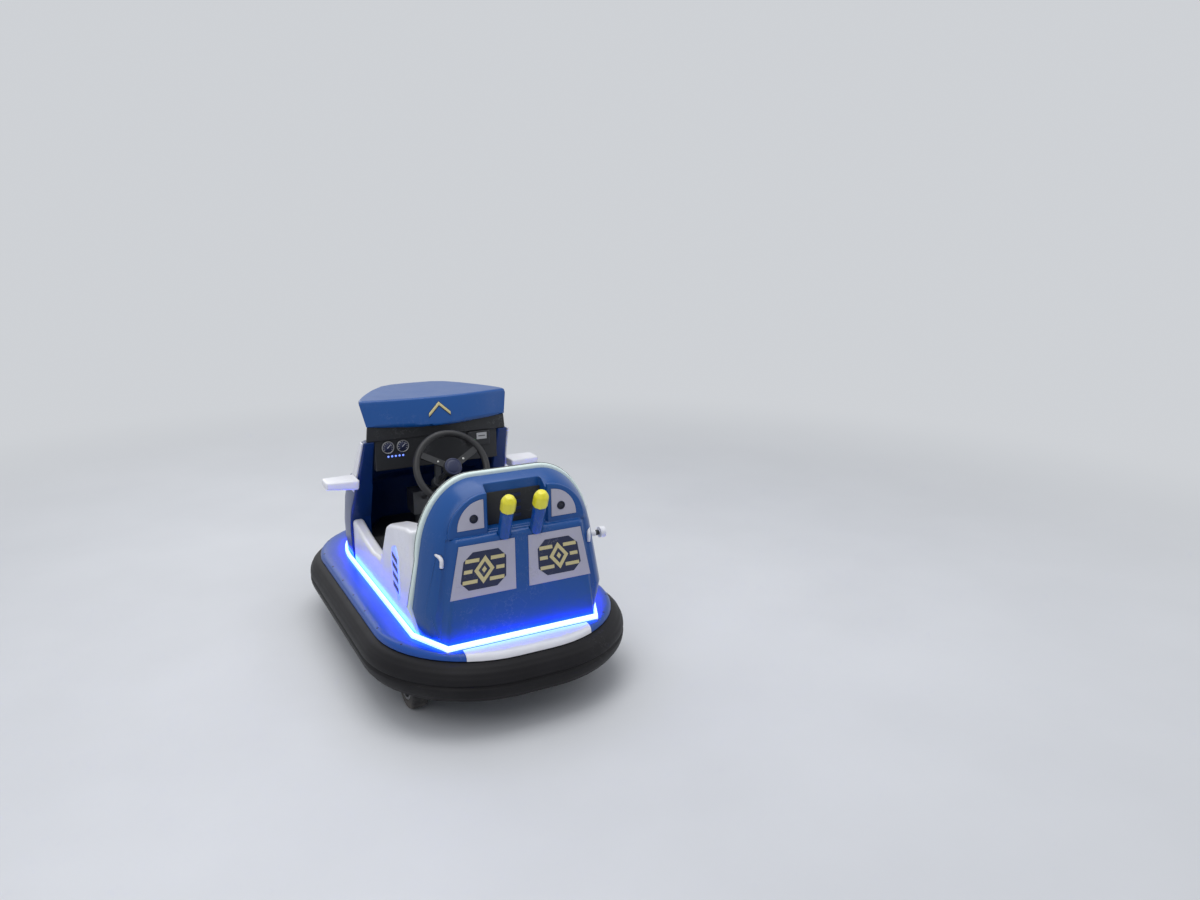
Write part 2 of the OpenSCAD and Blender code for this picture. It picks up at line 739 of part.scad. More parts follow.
// White panel wrapped round the nose, standing proud of the cowl
module nose_panel() {
    color("#eceaf0") intersection() {
        difference() {
            cowl_loft([for (s = COWL_LOW) [s[0], s[1] + 6, s[2] - 6]], 0, cowl_back_y);
            cowl_loft(COWL_LOW, 0, cowl_back_y + 1);
        }
        box_between([-overall_w, nose_y - 40, deck_z + light_h + 4],
                    [overall_w, nose_y + 150, deck_z + 150]);
    }
}

lamp_r = 34;

// Frames of the two headlamps: z out of the bonnet's shoulder, 12 mm below its skin
module lamp_frame() {
    both_sides() translate([205, nose_y + 84, deck_z + 196]) rotate([90, 0, 32]) children();
}

module headlamps() { color("#dff2ff") lamp_frame() cylinder(h = 34, r = lamp_r); }

// The cowl's upper part, grown outwards, with nothing cut away
module cheek_loft(grow) {
    cowl_loft([for (s = COWL_HIGH) [s[0], s[1] + grow, s[2] - grow, s[3]]], 0, dash_back_y);
}

cheek_t = 7;

// Front edge of the cheek panels, as y for a height
cheek_lo = [cowl_back_y - 60, bonnet_z - 38];
cheek_hi = [dash_back_y - 46, cowl_top_z - 2];
function cheek_front(z) = let (rise = (z - cheek_lo[1]) / (cheek_hi[1] - cheek_lo[1]))
    cheek_lo[0] + rise * (cheek_hi[0] - cheek_lo[0]);

module cheek_panels() {
    color("#ecebf0") intersection() {
        difference() {
            cheek_loft(cheek_t);
            cheek_loft(0);
            cowl_loft(COWL_LOW, 0, dash_back_y);
        }
        side_plate([cheek_lo, [cowl_back_y + 34, cheek_lo[1]], [dash_back_y - 2, cheek_hi[1]], cheek_hi],
                   -overall_w, overall_w);
    }
}

module stub_wings() {
    z = bonnet_z + 14;
    y = cowl_back_y + 26;
    color("#f2f1f6") difference() {
        both_sides() hull() {
            translate([body_hw - 40, y, z - 22]) cube([SKIN, 104, wing_t + 8]);
            translate([body_hw + wing_reach - 12, y + 8, z - 8]) cube([8, 80, wing_t - 6]);
        }
        cheek_loft(cheek_t + SEAT_GAP);
        cowl_loft(COWL_LOW, 0, dash_back_y);
    }
}

module windscreen() {
    lo = bonnet_z + 8;
    hi = cowl_top_z - 8;
    color("#0f1216") intersection() {
        difference() {
            cheek_loft(5);
            cheek_loft(0);
        }
        side_plate([[nose_y, lo], [cheek_front(lo) - 4, lo], [cheek_front(hi) - 4, hi], [nose_y, hi]],
                   -overall_w, overall_w);
    }
}

module dash_panel() {
    color("#121316") {
        hull() for (s = [[cowl_top_z, 0], [dash_top_z - SKIN, 6]])
            slice(visor_outline(body_hw - 42 - s[1], dash_back_y, 130 + s[1], 0), s[0]);
        box_between([-fascia_hw, dash_back_y - 40, fascia_z], [fascia_hw, dash_back_y - 10, cowl_top_z + 1]);
    }
}

// Visor plan: half width and distance from the back, as shares of the full ones
VISOR_PLAN = [[1, 0], [0.985, 0.09], [0.9, 0.27], [0.8, 0.45], [0.64, 0.7], [0.46, 0.91], [0.3, 0.985],
              [0.1, 1]];

// Plan outline of the visor for a half width, a back edge, a length and a bulge of the back
function visor_outline(hw, back, length, bulge) = let (n = len(VISOR_PLAN) - 1)
    concat([for (p = VISOR_PLAN) [hw * p[0], back - length * p[1]]],
           [for (i = [n:-1:0]) [-hw * VISOR_PLAN[i][0], back - length * VISOR_PLAN[i][1]]],
           [for (i = [1:15]) let (t = i / 8 - 1) [hw * t, back + bulge * (1 - t * t)]]);

// Visor sections: height above its foot, then how much narrower, further back and shorter than the full one
VISOR_SECTIONS = [[-14, 150, 0, 160], [0, 17, 0, 60], [visor_h * 0.5, 8, -12, 10], [visor_h - 12, 0, -22, 0],
                  [visor_h - 3, 2, -25, 4], [visor_h, 10, -32, 22]];

module visor() {
    color("#2458b4") difference() {
        hull() for (s = VISOR_SECTIONS) slice(
            visor_outline(visor_hw - s[1], dash_back_y + s[2], visor_l - s[3], visor_bulge),
            dash_top_z + s[0]);
        box_between([-overall_w, nose_y, dash_top_z - 60], [overall_w, dash_back_y + SEAT_GAP, dash_top_z]);
    }
}

module pedal() {
    color("#77797d") {
        translate([-90, cowl_back_y + 60, floor_z + wall]) cube([70, 16, 12]);
        translate([-90, cowl_back_y + 70, floor_z + wall + 8]) rotate([-35, 0, 0])
            translate([0, -6, 0]) cube([70, 8, 110]);
    }
}

module turntable_plate() {
    half = tube_w / 2;
    front = front_cross_y - half;
    back = back_cross_y + half;
    color("#5b5f66") difference() {
        translate([0, 0, plate_z]) linear_extrude(plate_t)
            polygon([[back_post_x + half, back], [back_post_x + half, fork_y], [front_post_x + half, front],
                     [-front_post_x - half, front], [-back_post_x - half, fork_y],
                     [-back_post_x - half, back]]);
        translate([0, fork_y, plate_z - 1]) cylinder(h = plate_t + 2, r = stem_r + run_gap);
    }
}

module steering_gearbox() {
    color("#6a6e75") difference() {
        union() {
            translate([0, fork_y, plate_z + plate_t])
                cylinder(h = gearbox_z - plate_z - plate_t + 1, r = stem_r + 14);
            box_between([-48, fork_y - 48, gearbox_z], [48, fork_y + 48, gearbox_z + 100]);
        }
        translate([0, fork_y, plate_z]) cylinder(h = gearbox_z - plate_z + 20, r = stem_r + run_gap);
        column_line() translate([0, 0, 20]) cylinder(h = 200, r = column_r + run_gap);
    }
}

// Frame of the steering column: z along it from the gearbox up to the wheel
module column_line() {
    translate([0, fork_y, gear_z]) rotate([column_slope - 90, 0, 0]) children();
}

// The bracket hangs from the fascia's underside, where the column passes below it
fascia_z = bonnet_z + 60;
fascia_hw = body_hw - cowl_wall - SEAT_GAP;
bracket_y = dash_back_y - 25;
bracket_s = (bracket_y - fork_y) / cos(column_slope);

module column_bracket() {
    color("#5b5f66") difference() {
        union() {
            column_line() translate([0, 0, bracket_s - 17]) cylinder(h = 34, r = column_r + 12);
            box_between([-12, bracket_y - 10, gear_z + bracket_s * sin(column_slope)],
                        [12, bracket_y + 10, fascia_z]);
        }
        column_line() translate([0, 0, bracket_s - 30]) cylinder(h = 60, r = column_r + run_gap);
    }
}

module axle_brackets() {
    color("#4a4d52") both_sides() difference() {
        box_between([rail_x + tube_w / 2, axle_y - 30, wheel_r - 24],
                    [rail_x + tube_w / 2 + 8, axle_y + 30, floor_z]);
        translate([0, axle_y, wheel_r]) rotate([0, 90, 0]) cylinder(h = 400, r = rear_axle_r);
    }
}

module rear_axle() {
    color("#9a9da3") {
        translate([-track_hw - tyre_w / 2 - 8, axle_y, wheel_r]) rotate([0, 90, 0])
            cylinder(h = 2 * track_hw + tyre_w + 16, r = rear_axle_r);
        both_sides() translate([track_hw + tyre_w / 2 + 0.5, axle_y, wheel_r]) rotate([0, 90, 0])
            cylinder(h = 7, r = rear_axle_r + 8);
    }
}

// Rolling tyre section, across x and out from the axle
module tyre(inner_r) {
    hw = tyre_w / 2;
    shoulder = 9;
    rotate([0, 90, 0]) rotate_extrude($fn = 96) polygon(
        [[inner_r, -hw], [wheel_r - shoulder, -hw], [wheel_r - shoulder * 0.35, shoulder * 0.4 - hw],
         [wheel_r, shoulder - hw], [wheel_r, hw - shoulder],
         [wheel_r - shoulder * 0.35, hw - shoulder * 0.4], [wheel_r - shoulder, hw], [inner_r, hw]]);
}

rim_r = 66;

module rear_rim(side) {
    color("#a9acb2") translate([side * track_hw, axle_y, wheel_r]) rotate([0, 90, 0]) difference() {
        union() {
            difference() {
                translate([0, 0, -tyre_w / 2]) cylinder(h = tyre_w, r = rim_r);
                for (s = [0, 1]) mirror([0, 0, s]) translate([0, 0, 8]) cylinder(h = tyre_w, r = rim_r - 8);
            }
            translate([0, 0, -tyre_w / 2]) cylinder(h = tyre_w, r = rear_axle_r + 12);
        }
        translate([0, 0, -tyre_w]) cylinder(h = 2 * tyre_w, r = rear_axle_r + run_gap);
    }
}

module rear_tyre(side) { color("#202124") translate([side * track_hw, axle_y, wheel_r]) tyre(rim_r); }
module rear_tyre_left() { rear_tyre(1); }
module rear_tyre_right() { rear_tyre(-1); }
module rear_rim_left() { rear_rim(1); }
module rear_rim_right() { rear_rim(-1); }
module front_tyre() { color("#202124") translate([0, fork_y, wheel_r]) tyre(rim_r); }

module hub_motor() {
    color("#8b8f96") translate([0, fork_y, wheel_r]) rotate([0, 90, 0]) difference() {
        union() {
            translate([0, 0, -tyre_w / 2]) cylinder(h = tyre_w, r = rim_r);
            translate([0, 0, -tyre_w / 2 - 4]) cylinder(h = tyre_w + 8, r = 44);
        }
        translate([0, 0, -tyre_w]) cylinder(h = 2 * tyre_w, r = front_axle_r + run_gap);
    }
}

leg_in = tyre_w / 2 + 9;
leg_t = 10;

module drive_fork() {
    color("#3f434a") difference() {
        union() {
            both_sides() {
                box_between([leg_in, fork_y - 26, wheel_r], [leg_in + leg_t, fork_y + 26, crown_z + 1]);
                translate([leg_in, fork_y, wheel_r]) rotate([0, 90, 0]) cylinder(h = leg_t, r = 26);
            }
            translate([0, fork_y, crown_z]) cylinder(h = crown_t, r = 70);
            translate([0, fork_y, crown_z]) cylinder(h = gearbox_z + 15 - crown_z, r = stem_r);
        }
        translate([-100, fork_y, wheel_r]) rotate([0, 90, 0]) cylinder(h = 200, r = front_axle_r);
    }
}

module front_axle() {
    color("#9a9da3") translate([0, fork_y, wheel_r]) rotate([0, 90, 0]) {
        translate([0, 0, -leg_in - leg_t - 10]) cylinder(h = 2 * (leg_in + leg_t + 10), r = front_axle_r);
        both_sides_z() translate([0, 0, leg_in + leg_t]) cylinder(h = 8, r = front_axle_r + 6, $fn = 6);
    }
}

module both_sides_z() {
    children();
    mirror([0, 0, 1]) children();
}

module steering_column() {
    color("#8d9095") column_line() translate([0, 0, 22]) cylinder(h = column_l - 22, r = column_r);
}

module wheel_frame() {
    column_line() translate([0, 0, column_l]) children();
}

module steering_ring() {
    color("#141517") wheel_frame() rotate_extrude($fn = 96)
        translate([wheel_ring_r, 0]) circle(r = grip_r, $fn = 32);
}

module steering_spokes() {
    color("#26282c") wheel_frame() {
        difference() {
            translate([0, 0, -14]) cylinder(h = 34, r = 36);
            translate([0, 0, -20]) cylinder(h = 20 + SEAT_GAP, r = column_r + run_gap);
        }
        difference() {
            for (a = [90, 210, 330]) rotate([0, 0, a]) translate([30, -13, -5])
                cube([wheel_ring_r - 30, 26, 10]);
            rotate_extrude($fn = 96) translate([wheel_ring_r, 0]) circle(r = grip_r + 0.05, $fn = 32);
        }
    }
}

bumper_ring();
bumper_band();
chassis_rails();
chassis_crossbars();
chassis_outriggers();
turntable_posts();
lashing_eyes();
deck();
deck_insert_rear();
deck_insert_front();
light_strip();
floor_pan();
footwell_tub();
drive_cover();
side_body_left();
side_body_right();
side_lamps();
seat_back_panel();
tail_shell();
lower_panels();
upper_panels();
recess_lining();
tail_posts();
tail_caps();
grab_handles();
marker_lamp();
seat_base();
seat_cushion();
seat_back_pad();
seat_belt();
battery_pack();
front_cowl();
nose_panel();
headlamps();
cheek_panels();
stub_wings();
windscreen();
dash_panel();
visor();
pedal();
turntable_plate();
steering_gearbox();
column_bracket();
axle_brackets();
rear_axle();
steering_ring();
steering_spokes();
steering_column();
drive_fork();
front_axle();
front_tyre();
hub_motor();
rear_tyre_left();
rear_rim_left();
rear_tyre_right();
rear_rim_right();
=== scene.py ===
"""Bumper car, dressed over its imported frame: mouldings, rubber, light strip, seat and running gear."""
import math

import bmesh
import bpy
import numpy as np
from mathutils import Matrix, Vector
from mathutils.bvhtree import BVHTree


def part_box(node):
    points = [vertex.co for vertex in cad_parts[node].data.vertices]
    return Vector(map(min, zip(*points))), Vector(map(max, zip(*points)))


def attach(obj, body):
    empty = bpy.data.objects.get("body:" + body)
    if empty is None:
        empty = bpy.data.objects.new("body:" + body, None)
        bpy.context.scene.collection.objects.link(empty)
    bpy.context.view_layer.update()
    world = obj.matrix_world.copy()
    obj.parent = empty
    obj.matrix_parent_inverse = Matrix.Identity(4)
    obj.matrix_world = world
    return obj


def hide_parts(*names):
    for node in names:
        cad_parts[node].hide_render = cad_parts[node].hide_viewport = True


bl_info = {
    "name": "Bumper car",
    "version": (1, 0, 0),
    "blender": (4, 5, 0),
    "location": "View3D > Sidebar > Bumper car",
    "description": "Builds the visible pieces of a battery bumper car over its frame",
    "category": "Object",
}

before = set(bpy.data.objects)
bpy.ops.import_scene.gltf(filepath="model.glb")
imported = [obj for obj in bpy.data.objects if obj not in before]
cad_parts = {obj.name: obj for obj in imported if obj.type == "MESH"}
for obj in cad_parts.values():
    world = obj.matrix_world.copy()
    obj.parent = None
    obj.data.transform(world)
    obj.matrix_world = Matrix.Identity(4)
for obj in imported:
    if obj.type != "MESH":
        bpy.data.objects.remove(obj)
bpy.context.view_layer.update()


def low(node):
    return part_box(node)[0]


def high(node):
    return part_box(node)[1]


# Sizes read from the frame, in metres
BODY_HW = high("side_body_left")[0]
DECK_Z = high("deck")[2]
LIGHT_OUT = 0.016
TAIL_Y = high("light_strip")[1] - LIGHT_OUT
NOSE_Y = low("light_strip")[1] + LIGHT_OUT
RIM_Y = high("seat_back_panel")[1]
PANEL_Y = low("seat_back_panel")[1]
RIM_TOP = high("seat_back_panel")[2]
DASH_Z = high("dash_panel")[2]
FASCIA_Y = high("dash_panel")[1] - 0.010
BUMPER_HW = high("bumper_ring")[0]
BUMPER_HL = high("bumper_ring")[1]
MAT_Z = high("floor_pan")[2]
AXLE_Y = 0.465
FORK_Y = NOSE_Y + 0.245
GEAR_Z = DECK_Z + 0.179
WHEEL_R = 0.1

# Sizes that part.scad also has, in metres and degrees
TAIL_LEAN = math.radians(1)
COLUMN_SLOPE = math.radians(30)
COLUMN_L = 0.425 / math.cos(COLUMN_SLOPE)
CORNER_R = 0.430
CHAMFER_L = 0.150
CHAMFER_W = 0.066
NOSE_MID_Y = NOSE_Y + 0.375
LEDGE_H = 0.368
UPPER_STEP = 0.032

# Sizes of the visible pieces alone, in metres and degrees
EDGE_DEFAULT = 0.006
SHARP = math.radians(30)
BAND_SEGMENTS = 3
VINYL_T = 0.0012
ABOVE_SEAT = 0.7
RECESS_D = 0.042
VENT_X = 0.158
VENT_UP = LEDGE_H + 0.060
GAUGES_X = (0.145, 0.205)
HEADLAMP_TURN = math.radians(32)
GRIP_R = 0.142
SIDES = ((1, "left"), (-1, "right"))
BUMPER_D = 0.072
BUMPER_H = 0.142
RIM_ROUND = 0.280


# Settings that a user would change

def colour(name, description, default):
    return bpy.props.FloatVectorProperty(
        name=name, description=description, default=default, size=3, subtype="COLOR", min=0, max=1)


def length(name, description, default):
    return bpy.props.FloatProperty(
        name=name, description=description, default=default, min=0, unit="LENGTH", subtype="DISTANCE")


class BumperCarColours(bpy.types.PropertyGroup):
    shell: colour("Shell", "Tail shell and visor", (0.005, 0.072, 0.280))
    # The cowl's blue is the shell's blue at about half its brightness: painted shade for the cowl lying in
    # shadow
    cowl: colour("Cowl", "Nose cowl", (0.006, 0.032, 0.150))
    deck: colour("Deck", "Deck between bumper and body", (0.004, 0.066, 0.340))
    white: colour("White", "White mouldings", (0.80, 0.80, 0.84))
    mint: colour("Seat back", "Seat back panel", (0.72, 0.84, 0.80))
    silver: colour("Panels", "Silver panels on the tail", (0.44, 0.43, 0.52))
    navy: colour("Navy", "Stripes and inner mouldings", (0.008, 0.014, 0.055))
    gold: colour("Pale gold", "Stripes on the stickers", (0.60, 0.52, 0.26))
    yellow: colour("Caps", "Caps of the tail posts", (0.80, 0.72, 0.03))
    rubber: colour("Rubber", "Bumper", (0.0085, 0.0080, 0.0095))
    light: colour("Light", "Light strip round the body", (0.004, 0.045, 1.0))


class BumperCarSizes(bpy.types.PropertyGroup):
    edge: length("Edge rounding", "Rounding of the mouldings' edges", EDGE_DEFAULT)
    seam: length("Seam width", "Width of the piping on the seat", 0.006)
    light_power: bpy.props.FloatProperty(
        name="Light power", description="Strength of the light strip", default=34.0, min=0, max=80)
    dust: bpy.props.FloatProperty(
        name="Dust", description="Amount of floor dust and scuffs", default=0.5, min=0, max=1,
        subtype="FACTOR")


def colours():
    return bpy.context.scene.bumper_car_colours


def sizes():
    return bpy.context.scene.bumper_car_sizes


# Finishes by plain name, and the slot that each one fills
MATERIALS = {}
SLOT_OF = {"deck": "deck_blue", "white": "white_plastic", "lamp_blue": "lamp_blue", "mint": "mint_white",
           "shell": "shell_blue", "silver": "silver_plastic", "black": "dark_plastic",
           "yellow": "cap_yellow", "navy": "navy_plastic", "cowl": "cowl_blue", "glass": "dark_screen",
           "steel": "bare_steel", "rubber": "rubber", "light": "light", "navy_vinyl": "navy_plastic",
           "gold": "cap_yellow", "lamp_white": "lamp_lens", "seat": "seat_leather",
           "piping": "seat_leather", "webbing": "webbing", "red": "dark_plastic", "green": "lamp_lens",
           "grip": "grip_black", "zinc": "zinc_steel", "tyre": "tyre"}
DUST = (0.17, 0.155, 0.14)


# Meshes from arrays

def add_object(name, mesh):
    obj = bpy.data.objects.new(name, mesh)
    bpy.context.scene.collection.objects.link(obj)
    return obj


def mesh_object(name, points, faces, smooth=True):
    """Object from an array of points and one or more arrays of faces."""
    mesh = bpy.data.meshes.new(name)
    points = np.asarray(points, float).reshape(-1, 3)
    mesh.from_pydata(points.tolist(), [], [list(map(int, f)) for f in faces])
    mesh.validate()
    mesh.update()
    mesh.polygons.foreach_set("use_smooth", np.full(len(mesh.polygons), smooth))
    return add_object(name, mesh)


def xyz(*axes):
    """Points from their coordinates, which are numbers or arrays that fit together."""
    return np.stack(np.broadcast_arrays(*axes), -1)


def grid_quads(nu, nv, wrap_u, wrap_v):
    """Quads of a grid of nu by nv points: corner (i, j) joins (i+1, j), (i+1, j+1) and (i, j+1)."""
    i, j = np.meshgrid(np.arange(nu - (not wrap_u)), np.arange(nv - (not wrap_v)), indexing="ij")
    i2, j2 = (i + 1) % nu, (j + 1) % nv
    return np.stack([i * nv + j, i2 * nv + j, i2 * nv + j2, i * nv + j2], -1).reshape(-1, 4)


def grid_object(name, grid, wrap_u=False, wrap_v=False, caps=False, smooth=True):
    """Object from a grid of points; caps closes both ends of a tube whose section wraps along v."""
    nu, nv = grid.shape[:2]
    faces = grid_quads(nu, nv, wrap_u, wrap_v).tolist()
    if caps:
        faces += [list(range(nv))[::-1], list(range((nu - 1) * nv, nu * nv))]
    obj = mesh_object(name, grid, faces, smooth)
    outward(obj.data)
    return obj


def outward(mesh):
    """Turns all faces of a closed mesh outwards."""
    bm = bmesh.new()
    bm.from_mesh(mesh)
    bmesh.ops.recalc_face_normals(bm, faces=bm.faces)
    bm.to_mesh(mesh)
    bm.free()


def joined(name, parts):
    """One mesh object from several, which are removed."""
    bm = bmesh.new()
    for part in parts:
        part.data.transform(part.matrix_world)
        bm.from_mesh(part.data)
    mesh = bpy.data.meshes.new(name)
    bm.to_mesh(mesh)
    bm.free()
    for part in parts:
        old = part.data
        bpy.data.objects.remove(part)
        bpy.data.meshes.remove(old)
    return add_object(name, mesh)


def mirrored(obj, name):
    """Copy of an object on the other side of the car, with its faces turned back outwards."""
    mesh = obj.data.copy()
    mesh.transform(Matrix.Diagonal((-1, 1, 1, 1)))
    mesh.flip_normals()
    return add_object(name, mesh)


def face_up(sheet):
    if sheet.data.polygons[0].normal.z < 0:
        sheet.data.flip_normals()


def thickened(obj, thickness):
    """Gives a sheet a thickness behind its face."""
    mod = obj.modifiers.new("Thickness", "SOLIDIFY")
    mod.thickness = thickness
    mod.offset = -1
    return obj


def weighted_normals(obj):
    mod = obj.modifiers.new("Even shading", "WEIGHTED_NORMAL")
    mod.keep_sharp = True
    mod.weight = 60


def rounded_copy(node, width):
    """Copy of a CAD node with a rounded band along each edge sharper than SHARP.

    The band is as wide as asked, or two fifths of the shortest neighbouring edge where that is less."""
    name = node + "_moulded"
    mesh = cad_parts[node].data.copy()
    mesh.materials.clear()
    bm = bmesh.new()
    bm.from_mesh(mesh)
    bmesh.ops.remove_doubles(bm, verts=bm.verts, dist=1.2e-4)
    bmesh.ops.dissolve_degenerate(bm, edges=bm.edges, dist=1e-5)
    bmesh.ops.dissolve_limit(bm, angle_limit=math.radians(1.2), verts=bm.verts, edges=bm.edges)
    weight = bm.edges.layers.float.new("bevel_weight_edge")
    sharp = {e for e in bm.edges if len(e.link_faces) == 2 and e.calc_face_angle(0) > SHARP}
    for edge in sharp:
        near = [o.calc_length() for v in edge.verts for o in v.link_edges
                if o is not edge and abs(_along(o, edge)) < 0.9]
        edge[weight] = min(1.0, 0.4 * min(near, default=width) / width)
        if edge.calc_length() < 0.8 * width or edge[weight] < 0.12:
            edge[weight] = 0.0
            edge.smooth = False
    bmesh.ops.connect_verts_concave(bm, faces=bm.faces)
    bm.to_mesh(mesh)
    bm.free()
    mesh.name = name
    mesh.polygons.foreach_set("use_smooth", np.ones(len(mesh.polygons), bool))
    obj = add_object(name, mesh)
    mod = obj.modifiers.new("Rounded edges", "BEVEL")
    mod.limit_method = "WEIGHT"
    mod.width = width
    mod.segments = BAND_SEGMENTS
    mod.use_clamp_overlap = False
    mod.loop_slide = False
    settle_bevel(obj, tree_of(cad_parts[node]), 0.6 * width + 0.0003)
    weighted_normals(obj)
    return obj


def settle_bevel(obj, solid, limit):
    """Lowers the bevel weights round each corner where the rounded surface leaves the solid."""
    mesh = obj.data
    corners = np.array([v.co for v in mesh.vertices])
    ends = np.array([e.vertices[:] for e in mesh.edges])
    weights = mesh.attributes["bevel_weight_edge"].data
    for _ in range(10):
        shown = obj.evaluated_get(bpy.context.evaluated_depsgraph_get()).data
        at = np.array([v.co for v in shown.vertices])
        far = np.array([solid.find_nearest(v.co)[3] for v in shown.vertices]) > limit
        if not far.any():
            return
        spots = []
        for a, b in (e.vertices[:] for e in shown.edges):
            if far[a] != far[b]:
                spots.append(at[b] if far[a] else at[a])
            elif far[a]:
                spots.append(at[a])
        gap = np.linalg.norm(corners[:, None] - np.array(spots)[None], axis=2).min(1)
        touched = (gap < max(0.012, gap.min() + 0.001))[ends].any(1)
        for i in np.flatnonzero(touched):
            if weights[i].value > 0.1:
                weights[i].value *= 0.5
            elif weights[i].value > 0:
                weights[i].value = 0.0
                mesh.edges[i].use_edge_sharp = True
        mesh.update()


def _along(a, b):
    va = (a.verts[1].co - a.verts[0].co).normalized()
    vb = (b.verts[1].co - b.verts[0].co).normalized()
    return va.dot(vb)


def dress(obj, finish, node=None, body="car", slot=None):
    """Gives a piece its finish and its body, and hides the node it stands for."""
    slot = slot or SLOT_OF[finish]
    obj.data.materials.clear()
    obj.data.materials.append(MATERIALS[finish])
    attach(obj, body)
    if node:
        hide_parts(*([node] if isinstance(node, str) else node))
    return obj


def paint_node(node, finish):
    """Gives a CAD node that stays as it is a better material."""
    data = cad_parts[node].data
    data.materials.clear()
    data.materials.append(MATERIALS[finish])


# Curves in plan and sections

def resample(points, step, closed=True):
    """Points evenly spaced by about step along a polyline, found from its running length."""
    points = np.asarray(points, float)
    if closed:
        points = np.vstack([points, points[:1]])
    run = np.concatenate([[0], np.cumsum(np.linalg.norm(np.diff(points, axis=0), axis=1))])
    n = max(3, int(round(run[-1] / step)))
    at = np.linspace(0, run[-1], n, endpoint=not closed)
    return np.stack([np.interp(at, run, points[:, k]) for k in range(points.shape[1])], -1)


def signed_power(x, power):
    """Size of x raised to a power, with the sign of x kept."""
    return np.sign(x) * np.abs(x) ** power


def nose_curve(hw, mid_y, front_y, power, n):
    """Half of a full-nosed curve from +hw round the front to -hw: both axes are a power of cos and sin."""
    a = np.linspace(0, -np.pi, n + 1)
    return xyz(hw * signed_power(np.cos(a), 2 / power),
               mid_y + (mid_y - front_y) * signed_power(np.sin(a), 2 / power))


def body_outline(grow):
    """Plan outline of the body's foot, grown outwards: a full nose, straight sides and a chamfered tail."""
    hw, tail = BODY_HW + grow, TAIL_Y + grow
    back = [[-hw, TAIL_Y - CHAMFER_L + 0.2 * grow], [-BODY_HW + CHAMFER_W - 0.65 * grow, tail],
            [BODY_HW - CHAMFER_W + 0.65 * grow, tail], [hw, TAIL_Y - CHAMFER_L + 0.2 * grow]]
    return np.vstack([nose_curve(hw, NOSE_MID_Y, NOSE_Y - grow, 2.5, 96), back])


def divided(points, step):
    """Closed path with its corners kept and each side cut into lengths of at most step."""
    sides = zip(points, np.roll(points, -1, 0))
    parts = []
    for start, end in sides:
        n = max(1, math.ceil(np.linalg.norm(end - start) / step))
        parts.append(start + (end - start) * np.arange(n)[:, None] / n)
    return np.vstack(parts)


def outline_ring(section, step=0.016):
    """Grid of a closed section, given as distance out and height, drawn along the body's own outlines."""
    lines = np.stack([body_outline(out) for out in section[:, 0]], 1)
    around = divided(lines.reshape(len(lines), -1), step * math.sqrt(len(section)))
    grid = around.reshape(len(around), -1, 2)
    z = np.broadcast_to(section[None, :, 1:], grid.shape[:2] + (1,))
    return np.concatenate([grid, z], -1)


def path_normals(path):
    """Outward unit normals of a closed plan path that runs clockwise seen from above."""
    t = np.roll(path, -1, 0) - np.roll(path, 1, 0)
    t /= np.linalg.norm(t, axis=1)[:, None]
    n = np.stack([-t[:, 1], t[:, 0]], -1)
    out = np.sign(np.sum(n * (path - path.mean(0)), 1).sum())
    return n * out


def swept_ring(path, section):
    """Grid of a closed section, given as distance out and height, carried round a closed plan path."""
    n = path_normals(path)
    xy = path[:, None, :] + n[:, None, :] * section[None, :, :1]
    z = np.broadcast_to(section[None, :, 1:], xy.shape[:2] + (1,))
    return np.concatenate([xy, z], -1)


def tail_points(x, out, up):
    """Points of the leaning tail face: x across, out of the face, up the face, in metres."""
    c, s = math.cos(TAIL_LEAN), math.sin(TAIL_LEAN)
    return xyz(x, TAIL_Y + out * c - up * s, DECK_Z + out * s + up * c)


# Materials

class Nodes:
    """Node tree with one short call that adds a node, sets its values and links its sockets."""

    def __init__(self, tree):
        self.tree = tree

    def add(self, kind, inputs=None, **values):
        node = self.tree.nodes.new(kind)
        for key, value in values.items():
            setattr(node, key, value)
        for key, value in (inputs or {}).items():
            socket = node.inputs[key]
            if isinstance(value, bpy.types.NodeSocket):
                self.tree.links.new(value, socket)
            else:
                socket.default_value = value
        return node

    def group(self, tree, vector, **inputs):
        return self.add("ShaderNodeGroup", {"Vector": vector, **inputs}, node_tree=tree).outputs[0]

    def math(self, operation, a, b=0.0, clamp=False):
        return self.add("ShaderNodeMath", {0: a, 1: b}, operation=operation, use_clamp=clamp).outputs[0]

    def mix(self, factor, a, b, blend="MIX"):
        node = self.add("ShaderNodeMix", {0: factor, 6: a, 7: b}, data_type="RGBA", blend_type=blend)
        return node.outputs[2]

    def ramp(self, value, low_at, high_at):
        """Value carried from low_at to high_at onto 0 to 1, with soft ends."""
        return self.add("ShaderNodeMapRange", {0: value, 1: low_at, 2: high_at},
                        interpolation_type="SMOOTHSTEP").outputs[0]

    def noise(self, vector, scale, detail=4.0, rough=0.5):
        node = self.add("ShaderNodeTexNoise", {"Vector": vector, "Scale": scale, "Detail": detail,
                                               "Roughness": rough})
        return node.outputs["Fac"]


def rgba(value):
    return (*value, 1.0)


def shader_group(name, inputs, outputs, build):
    """Node group built once: inputs and outputs are (name, socket type, default)."""
    found = bpy.data.node_groups.get(name)
    if found:
        return found
    group = bpy.data.node_groups.new(name, "ShaderNodeTree")
    for in_out, table in (("INPUT", inputs), ("OUTPUT", outputs)):
        for label, kind, default in table:
            socket = group.interface.new_socket(name=label, in_out=in_out, socket_type=kind)
            if default is not None:
                socket.default_value = default
    nodes = Nodes(group)
    start = nodes.add("NodeGroupInput")
    end = nodes.add("NodeGroupOutput")
    for label, socket in build(nodes, start.outputs).items():
        group.links.new(socket, end.inputs[label])
    return group


FLOAT, COLOUR, VECTOR = "NodeSocketFloat", "NodeSocketColor", "NodeSocketVector"


